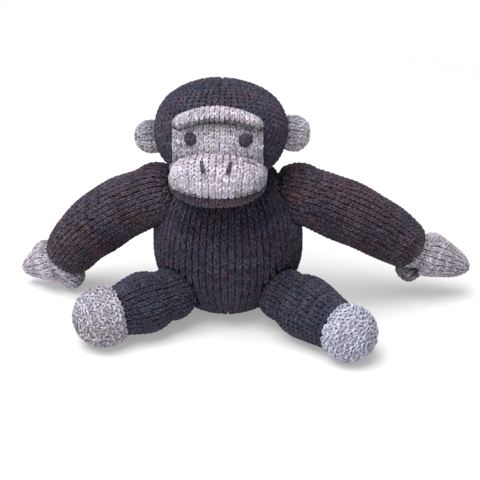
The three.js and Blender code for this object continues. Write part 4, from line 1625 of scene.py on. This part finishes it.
    def build_eye(self, side: Side, eye: Eye) -> None:
        """Makes an eye: two layers of dark strands laid side by side over an oval.

        Args:
            side: Which eye.
            eye: Its place and size.
        """
        laid = Stitches()
        rng = np.random.default_rng(50 + side.value)
        count = eye.strands
        for layer, shrink in enumerate((1.0, 0.68)):
            offset = ((np.arange(count) + 0.5) / count * 2 - 1) * shrink
            tall = eye.long * np.sqrt(1 - (offset * 0.98) ** 2) * (0.8 + 0.2 * shrink)
            x = eye.x + offset * eye.wide
            place = self.front(x, np.full(count, eye.z))
            place[:, 1] -= self.panel + 0.6 + layer * 0.9 + 1.2 * (1 - offset**2)
            upper, lower = (self.front(x, np.full(count, eye.z + rise), self.panel) for rise in (4, -4))
            along = (upper - lower) @ self.pose.axes.T
            out = unit(np.stack([offset * 0.35, -np.ones(count), np.full(count, 0.12)], axis=-1)) @ self.pose.axes.T
            size = np.stack([np.full(count, 1.9), tall, np.full(count, 2.4)], axis=-1)
            laid.add(self.pose.out(place), along, out, size, 0.5 + rng.normal(size=count) * 0.2)
        self.embroider(f"{side.word}_eye", laid, seed=6 + side.value)

    def muzzle(self, inset: float, rows: int, columns: int, crease: float) -> Array:
        """The muzzle's form in the head's frame, with the mouth drawn in round its front.

        Args:
            inset: How far inside its surface.
            rows: Rows of points from one side to the other.
            columns: Points in each row, from the back over the top to the front and under.
            crease: How far the mouth is drawn in.

        Returns:
            Rows by columns by three.
        """
        points = swollen(np.array(self.muzzle_half) - inset, self.muzzle_fullness, rows, columns, pole=0)
        reach = np.linalg.norm(points[..., :2], axis=-1)
        aside = (points[..., 0] / self.muzzle_half[0]) ** 2
        line = self.mouth - 1.0 + self.mouth_rise * aside
        drawn = crease * (1 - 0.7 * np.minimum(aside, 1)) * np.exp(-(((points[..., 2] - line) / 3.0) ** 2))
        share = 1 - drawn * np.minimum(reach / self.muzzle_half[1], 1) / np.maximum(reach, 1e-6)
        points[..., :2] *= share[..., None]
        corner = np.clip(points[..., 1] / 20 + 0.75, 0, 1) * np.clip(points[..., 2] / 12, 0, 1)
        points[..., 0] *= 1 - 0.1 * corner
        return points + self.muzzle_centre

    def build_muzzle(self) -> None:
        """Makes the stuffed muzzle, pale above the mouth and dark below it."""
        own = self.muzzle(inset=0, rows=44, columns=64, crease=self.crease)
        held = self.inside(own, self.panel + 2)
        soft = self.muzzle_stuffing.fill(Fabric(self.pose.out(own)), held, "muzzle_cloth")

        def keep(places: Array) -> Array:
            """Leaves out what is behind the panel's face or against the chest."""
            return self.clear_of(self.panel - 0.6)(places) & (self.torso.depth_in(places) < -1.5)

        def below(places: Array) -> Array:
            """How far places lie below the mouth, which wanders a little.

            Args:
                places: The places, one to a row.

            Returns:
                A distance for each.
            """
            here = self.pose.own(places) - self.muzzle_centre
            stray = np.sin(here[:, 0] * 0.9) * np.cos(here[:, 0] * 0.37 + 1)
            return stray + self.mouth + self.mouth_rise * (here[:, 0] / self.muzzle_half[0]) ** 2 - here[:, 2]

        def shade(places: Array) -> Array:
            """Paints shade in the mouth's crease and under it, and on the lower part of the muzzle, darker
            downwards, on a tone lifted a little.
            """
            deep = below(places)
            return 0.05 - 0.85 * ramp(deep, start=-1.5, run=4) - 0.3 * ramp(deep, start=-7, run=8)

        wales, columns, lip = soft.crossed(), 24, 1.6
        upper = knit(
            wales, self.pale, columns, seed=51, keep=lambda places: keep(places) & (below(places) < lip), shade=shade
        )
        jaw = knit(wales, self.pale, columns, seed=52, keep=lambda places: keep(places) & (below(places) >= lip))
        back = self.pale.behind(soft)
        inner = self.pose.own(back.points) - self.muzzle_centre
        reach = self.muzzle_half[0] - 2.6
        inner[..., 0] = np.clip(inner[..., 0], -reach, reach)
        back.points = self.pose.out(self.outside(inner + self.muzzle_centre, self.panel + 0.1))
        # The back has the same painted shade as the upper stitches.
        Piece("muzzle_knit", PALE_MARL, "head", "muzzle_cover", fill=0.7).settle(
            back.mesh("muzzle_back", shade=shade),
            SNUG.lay(upper, PALE_MARL, "muzzle_stitches", seed=8),
            SNUG.lay(jaw, WARM_TWEED, "chin_stitches", seed=8),
        )
        own = self.outside(self.muzzle(inset=7, rows=22, columns=30, crease=1.0), self.panel + 0.5)
        stuff("muzzle", "head", fill=0.7, inside=Fabric(self.pose.out(own)))

    def build_nostril(self, side: Side) -> None:
        """Makes a nostril: two long dark stitches with their upper ends further out.

        Args:
            side: Which nostril.
        """
        laid = Stitches()
        out = unit(np.array([[0, -0.75, 0.65]])) @ self.pose.axes.T
        aside, height, lean, rise = 9.75, 15.2, 0.8, 2.6
        for shift in (-0.7, 0.7):
            x = side.value * (aside + np.array([-lean, lean])) + shift
            z = height + np.array([-rise, rise])
            y = -bulge(self.muzzle_half, self.muzzle_fullness, x, z)
            ends = self.pose.out(np.stack([x, y, z], axis=-1) + self.muzzle_centre)
            along = ends[1:] - ends[:1]
            size = np.array([[1.6, np.linalg.norm(along) * 1.15, 1.6]])
            laid.add(ends.mean(axis=0, keepdims=True) + out * 0.7, along, out, size, np.array([0.7]))
        self.embroider(f"{side.word}_nostril", laid, seed=9)

    def build_ear(self, side: Side, ear: Ear) -> None:
        """Makes an ear, which is sewn on by its straight edge.

        Args:
            side: Which ear.
            ear: Its place and size.
        """
        name = f"{side.word}_ear"
        back_share, drop_share = ear.behind / self.half[1], ear.drop / self.half[2]
        out = self.half[0] * (1 - back_share**self.fullness - drop_share**self.fullness) ** (1 / self.fullness)
        half, thin = (ear.reach + ear.sunk) / 2, ear.edge / ear.thick
        points = swollen((half, ear.thick / 2, ear.tall), power=2.1, rows=26, columns=32, pole=0)
        points[..., 0] += half - ear.sunk
        points[..., 1] *= thin + (1 - thin) * np.clip(points[..., 0] / ear.reach * 2, 0, 1)
        cup = 1 - 0.45 * np.exp(-(((points[..., 0] - half + ear.sunk) / 7) ** 2 + (points[..., 2] / 8) ** 2))
        points[..., 1] *= np.where(points[..., 1] < 0, cup, 1)
        points[..., 0] *= side.value
        points += self.centre + [side.value * (out - 1.6), ear.behind, -ear.drop]
        fabric = Fabric(self.pose.out(self.outside(points, -2.4)))
        keep = self.clear_of(-1.8)
        stitches = knit(fabric, self.ear_gauge, columns=15, seed=70 + side.value, keep=keep, shade=ear.shade)
        back = fabric.moved(-1.2).mesh(f"{name}_back")
        Piece(f"{name}_knit", PALE_MARL, name, name, fill=0.3).knitted(back, stitches, SNUG, seed=10)


@dataclass
class Arm:
    """A stuffed arm with its mitten hand and thumb."""

    side: Side
    sweep: float  # How far it points to the back, in degrees.
    bend: float  # In degrees.
    wrist_height: float
    lift: float  # How far the hand is lifted out of the arm's line, in degrees.
    hand_length: float
    thumb_turn: float  # How far the thumb leans back to the wrist, in degrees.
    # Painted shade over the whole hand, and painted shadow on the thumb, which lies under the cuff.
    hand_shade: float = 0.0
    thumb_shade: float = -0.15
    ball: float = SHOULDER_BALL
    width: float = 52
    fullest: float = 44  # How far along it is widest.
    length: float = 107.5
    forearm: float = 46.5  # Width where the cuff begins.
    cuff_run: float = 22  # Length of the cuff.
    cuff: float = 41  # Width of the cuff.
    columns: int = 34
    gauge: Gauge = Gauge(back=0.7)
    pale: Gauge = Gauge(width=4.7, height=3.8, depth=3.8)

    def build(self) -> None:
        """Makes the arm's cover, its stuffing, the hand and the thumb."""
        name = f"{self.side.word}_arm"
        middle = joint_place(f"{name}_raise")
        angle = math.radians(self.bend)
        chord = self.length * math.sin(angle / 2) / (angle / 2)
        droop = math.asin((middle[2] - self.wrist_height) / chord) - angle / 2
        sweep = math.radians(self.sweep)
        level = np.array([self.side.value * math.cos(sweep), math.sin(sweep), 0])
        pose = Pose.along(middle, level * math.cos(droop) - UP * math.sin(droop), -UP)
        self.build_cover(name, pose, angle)
        self.build_hand(pose, angle)

    def build_cover(self, name: str, pose: Pose, angle: float) -> None:
        """Makes the arm's cover and its stuffing.

        Args:
            name: The arm's name.
            pose: Its frame.
            angle: How far it bends, in radians.
        """

        def shaped(outline: Array, columns: int) -> Array:
            """An outline turned, bent with the arm and set in its place."""
            return pose.out(bent(turned(outline, columns), self.length, angle))

        stations = [
            (self.fullest, self.width),
            (self.length - self.cuff_run, self.forearm),
            (self.length - 3.5, self.cuff),
            (self.length, self.cuff - WALL),
        ]
        line = even(limb_outline(self.ball, stations, leaves=72), rows=46)
        held = (line[:, 1:] < 8) | (line[:, 1:] > self.length - 6)
        stuffing = Stuffing(seed=80 + self.side.value, length=45)
        soft = stuffing.fill(Fabric(shaped(line, columns=40)), held, f"{name}_cloth")
        keep = pose.beyond(1, -0.8 * self.ball / 2)
        stitches = knit(soft, self.gauge, self.columns, seed=81 + self.side.value, keep=keep)
        rim = self.cuff / 2
        turn_in = [[rim - 3.0, self.length - 2], [rim - WALL, self.length - 12], [POLE, self.length - 13]]
        back = self.gauge.behind(soft)
        back.points = np.concatenate([back.points, shaped(even(np.array(turn_in), rows=10), columns=40)])
        cover = Piece(f"{name}_knit", WARM_TWEED, name, f"{name}_cover", fill=0.7)
        cover.knitted(back.mesh(f"{name}_back"), stitches, KNITTED, seed=20 + self.side.value)
        inner = np.concatenate([line[line[:, 1] < self.length - 24], [[POLE, self.length - 23]]])
        inner[:, 0] = np.maximum(inner[:, 0] - FILL_IN, POLE)
        inner[:, 1] = np.maximum(inner[:, 1], -self.ball / 2 + FILL_IN)
        filling = Fabric(shaped(even(inner, rows=24), columns=24))
        way, clear = filling.points - pose.middle, 6
        around = np.linalg.norm(way, axis=-1, keepdims=True)
        pushed = pose.middle + way / np.maximum(around, 1e-6) * clear
        filling.points = np.where(around < clear, pushed, filling.points)
        stuff(name, name, fill=0.7, inside=filling)

    def build_hand(self, pose: Pose, angle: float) -> None:
        """Makes the hand and thumb in the arm's frame.

        Args:
            pose: The arm's frame.
            angle: How far the arm bends, in radians.
        """
        name, thumb = f"{self.side.word}_hand", f"{self.side.word}_thumb"
        wrist = self.length - 0.5
        turn = math.radians(self.lift) - angle * wrist / self.length
        at = pose.out(bent(np.array([0.0, wrist, 0.0]), self.length, angle))
        hand = Pose(at, pose.axes @ about_z(turn))
        ball = self.cuff / 2 - WALL - 0.8
        tip, wide, thick = self.hand_length - 14, 25, 18
        stations = [(17, 37.5), (tip, wide), (self.hand_length - 3.5, 12.5), (self.hand_length, 0.2)]
        points = turned(even(limb_outline(ball * 2, stations, leaves=58), rows=34), columns=28)
        out = ramp(points[..., 1], start=ball / 2, run=tip - ball / 2)
        points[..., 2] *= 1 + (thick / wide - 1) * out * out * (3 - 2 * out)
        fabric = Fabric(hand.out(points))
        out_of_cuff, out_of_hand = hand.beyond(1, -3.0), hand.beyond(0, 11.0)
        seed = 90 + self.side.value
        # The hand takes its painted shade.
        stitches = knit(fabric, self.pale, columns=22, seed=seed, keep=out_of_cuff, shade=self.hand_shade)
        back = self.pale.behind(fabric).mesh(f"{name}_back")
        Piece(f"{name}_knit", PALE_MARL, name, name, fill=0.4).knitted(back, stitches, KNITTED, seed=30)
        half = (12.3, 10.5, 10.5)
        nub = swollen(half, power=2.4, rows=20, columns=22, pole=0) + [half[0], 0.5 + 1.5 + half[1], 0]
        fabric = Fabric(hand.out(nub @ about_z(math.radians(self.thumb_turn))))
        seed = 95 + self.side.value
        # The thumb takes its painted shadow.
        stitches = knit(fabric, self.pale, columns=13, seed=seed, keep=out_of_hand, shade=self.thumb_shade)
        back = fabric.moved(-2.0).mesh(f"{thumb}_back")
        Piece(f"{thumb}_knit", PALE_MARL, name, thumb, fill=0.5).knitted(back, stitches, KNITTED, seed=32)


@dataclass
class Leg:
    """A stuffed leg with its pale foot."""

    side: Side
    round: float  # How far to its side it points, in degrees from the front.
    length: float  # From the hip to the middle of the foot.
    foot: float = 44.5
    foot_yarn: Yarn = PALE_MARL
    foot_shade: float = -0.12
    ball: float = HIP_BALL
    width: float = 51
    fullest: float = 24  # How far along it is widest.
    ankle: float = 39  # Width at the foot.
    ankle_back: float = 11  # How far that is from the middle of the foot.
    pressed: float = 0.5  # How far the floor presses the foot flat.
    columns: int = 33
    foot_columns: int = 33
    gauge: Gauge = Gauge()
    pale: Gauge = Gauge(width=4.4, height=3.2, depth=2.7)

    def build(self) -> None:
        """Makes the leg's cover, the foot and the stuffing of both."""
        name, foot = f"{self.side.word}_leg", f"{self.side.word}_foot"
        middle = joint_place(f"{name}_lift")
        radius = self.foot / 2
        rise = radius - self.pressed - middle[2]
        level = math.sqrt(self.length**2 - rise**2)
        angle = math.radians(self.round)
        way = np.array([self.side.value * level * math.sin(angle), -level * math.cos(angle), rise])
        pose = Pose.along(middle, way, -UP)
        edge = self.length - self.ankle_back
        line = even(limb_outline(self.ball, [(self.fullest, self.width), (edge, self.ankle)], leaves=72), rows=30)
        fabric = Fabric(pose.out(turned(line, columns=36)))
        stuffing = Stuffing(seed=100 + self.side.value, length=40)
        soft = stuffing.fill(fabric, line[:, 1:] < 6, f"{name}_cloth").lifted(0.4)
        keep = pose.beyond(1, -0.75 * self.ball / 2)
        stitches = knit(soft, self.gauge, self.columns, seed=110 + self.side.value, keep=keep)
        back = self.gauge.behind(soft).mesh(f"{name}_back")
        Piece(f"{name}_knit", COOL_TWEED, name, f"{name}_cover", fill=0.7).knitted(back, stitches, CLOSE, seed=40)
        turn = math.acos(-self.ankle_back / radius) * (1 - np.linspace(0, 0.998, 40))
        arc = np.stack([np.sin(turn) * radius, self.length + np.cos(turn) * radius], axis=-1)
        toe = Fabric(pose.out(turned(even(arc, rows=26), columns=36))).lifted(0.2)
        seed = 120 + self.side.value
        stitches = knit(toe, self.pale, self.foot_columns, seed, stagger=True, shade=self.foot_shade, loose=0.2)
        # The back's tone is lifted, which lightens the painted shade in the gaps between its stitches.
        back = toe.moved(-1.4).mesh(f"{foot}_back", shade=all_over(0.14))
        cover = Piece(f"{foot}_knit", self.foot_yarn, name, f"{foot}_cover", fill=0.8)
        cover.knitted(back, stitches, PURLED, seed=42)
        inner = np.concatenate([line[line[:, 1] > 6], arc])
        inner[:, 0] = np.maximum(inner[:, 0] - FILL_IN, POLE)
        inner[:, 1] = np.minimum(inner[:, 1], self.length + radius - FILL_IN)
        inner = np.concatenate([[[POLE, inner[0, 1]]], inner])
        filling = Fabric(pose.out(turned(even(inner, rows=26), columns=24)))
        stuff(name, name, fill=0.7, inside=filling)


@dataclass
class Studio:
    """The white floor, the soft light and the camera of the photograph, in metres."""

    elevation: float = 28  # How far the camera looks down, in degrees.
    distance: float = 1.0
    aim: tuple[float, float, float] = (0, 0, 0.056)  # What the camera looks at.
    across: float = 0.384  # The width that it sees there.
    pixel: tuple[float, float] = (228, 243)  # Where that is in the photograph.
    size: int = 480  # The photograph's width and height, in pixels.
    sensor: float = 36  # In millimetres.
    floor_half: float = 6.0
    floor_height: float = -0.0004  # A little under the seat.

    def build(self) -> None:
        """Makes the floor, lamps, world and camera."""
        bpy.context.scene.view_settings.view_transform = "Standard"
        self.floor()
        self.light()
        self.world()
        self.camera()

    def camera(self) -> None:
        """The camera, set so that what it looks at falls on its pixel of the photograph."""
        camera = bpy.data.cameras.new("photo_camera")
        camera.sensor_width = self.sensor
        camera.lens = self.sensor * self.distance / self.across
        camera.shift_x = (self.size / 2 - self.pixel[0]) / self.size
        camera.shift_y = (self.pixel[1] - self.size / 2) / self.size
        holder = bpy.data.objects.new("photo_camera", camera)
        tilt = math.radians(self.elevation)
        holder.location = Vector(self.aim) + Vector((0, -math.cos(tilt), math.sin(tilt))) * self.distance
        holder.rotation_euler = (math.pi / 2 - tilt, 0, 0)
        bpy.context.scene.collection.objects.link(holder)
        bpy.context.scene.camera = holder

    def floor(self) -> None:
        """A wide pale floor that shows white to the camera but for the toy's shadow."""
        mesh = bpy.data.meshes.new("studio_floor")
        ways = ((-1, -1), (1, -1), (1, 1), (-1, 1))
        corners = [(x * self.floor_half, y * self.floor_half, self.floor_height) for x, y in ways]
        mesh.from_pydata(corners, [], [(0, 1, 2, 3)])
        made = bpy.data.materials.new("studio_floor")
        made.use_nodes = True
        wiring, nodes = Wiring(made.node_tree), made.node_tree.nodes
        paper = nodes["Principled BSDF"]
        wiring.fit(paper, {"Base Color": (0.93, 0.93, 0.93, 1), "Roughness": 0.9, "Specular IOR Level": 0.0})
        place = wiring.node("ShaderNodeTexCoord").outputs["Object"]
        away = wiring.node("ShaderNodeVectorMath", {0: place}, operation="LENGTH").outputs["Value"]
        fade = {"Value": away, "From Min": 0.25, "From Max": 0.75, "To Min": 0.3, "To Max": 1.0}
        far = wiring.wire("ShaderNodeMapRange", fade, interpolation_type="SMOOTHSTEP")
        seen = wiring.node("ShaderNodeLightPath").outputs["Is Camera Ray"]
        mix = {0: wiring.calc("MULTIPLY", far, seen), 1: paper.outputs[0], 2: wiring.wire("ShaderNodeEmission")}
        wiring.fit(nodes["Material Output"], {"Surface": wiring.wire("ShaderNodeMixShader", mix)})
        mesh.materials.append(made)
        floor = bpy.data.objects.new("studio_floor", mesh)
        bpy.context.scene.collection.objects.link(floor)

    def light(self) -> None:
        """A large soft lamp overhead, a weak one in front and a weaker one at the side."""
        for name, place, size, power in (
            ("lamp_over", (-0.35, -0.3, 1.5), 1.3, 36.5),
            ("lamp_front", (-0.6, -1.4, 1.0), 1.0, 3.6),
            ("lamp_side", (1.2, -0.7, 1.0), 0.9, 0.8),
        ):
            lamp = bpy.data.lights.new(name, "AREA")
            lamp.shape = "SQUARE"
            lamp.size = size
            lamp.energy = power
            holder = bpy.data.objects.new(name, lamp)
            holder.location = place
            holder.rotation_euler = (Vector((0, 0, 0.08)) - Vector(place)).to_track_quat("-Z", "Y").to_euler()
            bpy.context.scene.collection.objects.link(holder)

    def world(self) -> None:
        """A white surround: plain to the camera, gentle on the toy."""
        world = bpy.data.worlds.new("studio")
        bpy.context.scene.world = world
        world.use_nodes = True
        wiring, nodes = Wiring(world.node_tree), world.node_tree.nodes
        white, base = (1, 1, 1, 1), nodes["Background"]
        wiring.fit(base, {"Color": white, "Strength": 0.22})
        plain = wiring.wire("ShaderNodeBackground", {"Color": white, "Strength": 1.0})
        seen = wiring.node("ShaderNodeLightPath").outputs["Is Camera Ray"]
        mix = wiring.wire("ShaderNodeMixShader", {0: seen, 1: base.outputs[0], 2: plain})
        wiring.fit(nodes["World Output"], {"Surface": mix})


def main() -> None:
    """Builds the studio and then each sub-assembly of the toy."""
    Studio().build()
    torso = Torso()
    torso.build()
    Seams().build()
    Head(torso).build()
    # The left arm's hand gets painted shade and its thumb a deeper painted shadow.
    Arm(
        Side.LEFT, sweep=5, bend=17, wrist_height=46, lift=14, hand_length=55, thumb_turn=18,
        hand_shade=-0.12, thumb_shade=-0.58,
    ).build()
    Arm(Side.RIGHT, sweep=15.6, bend=30, wrist_height=31, lift=29, hand_length=44, thumb_turn=30).build()
    Leg(Side.LEFT, round=44.5, length=67, foot_yarn=COOL_MARL, foot_shade=-0.07).build()
    Leg(Side.RIGHT, round=63, length=58, foot=48).build()


if __name__ == "__main__":
    main()
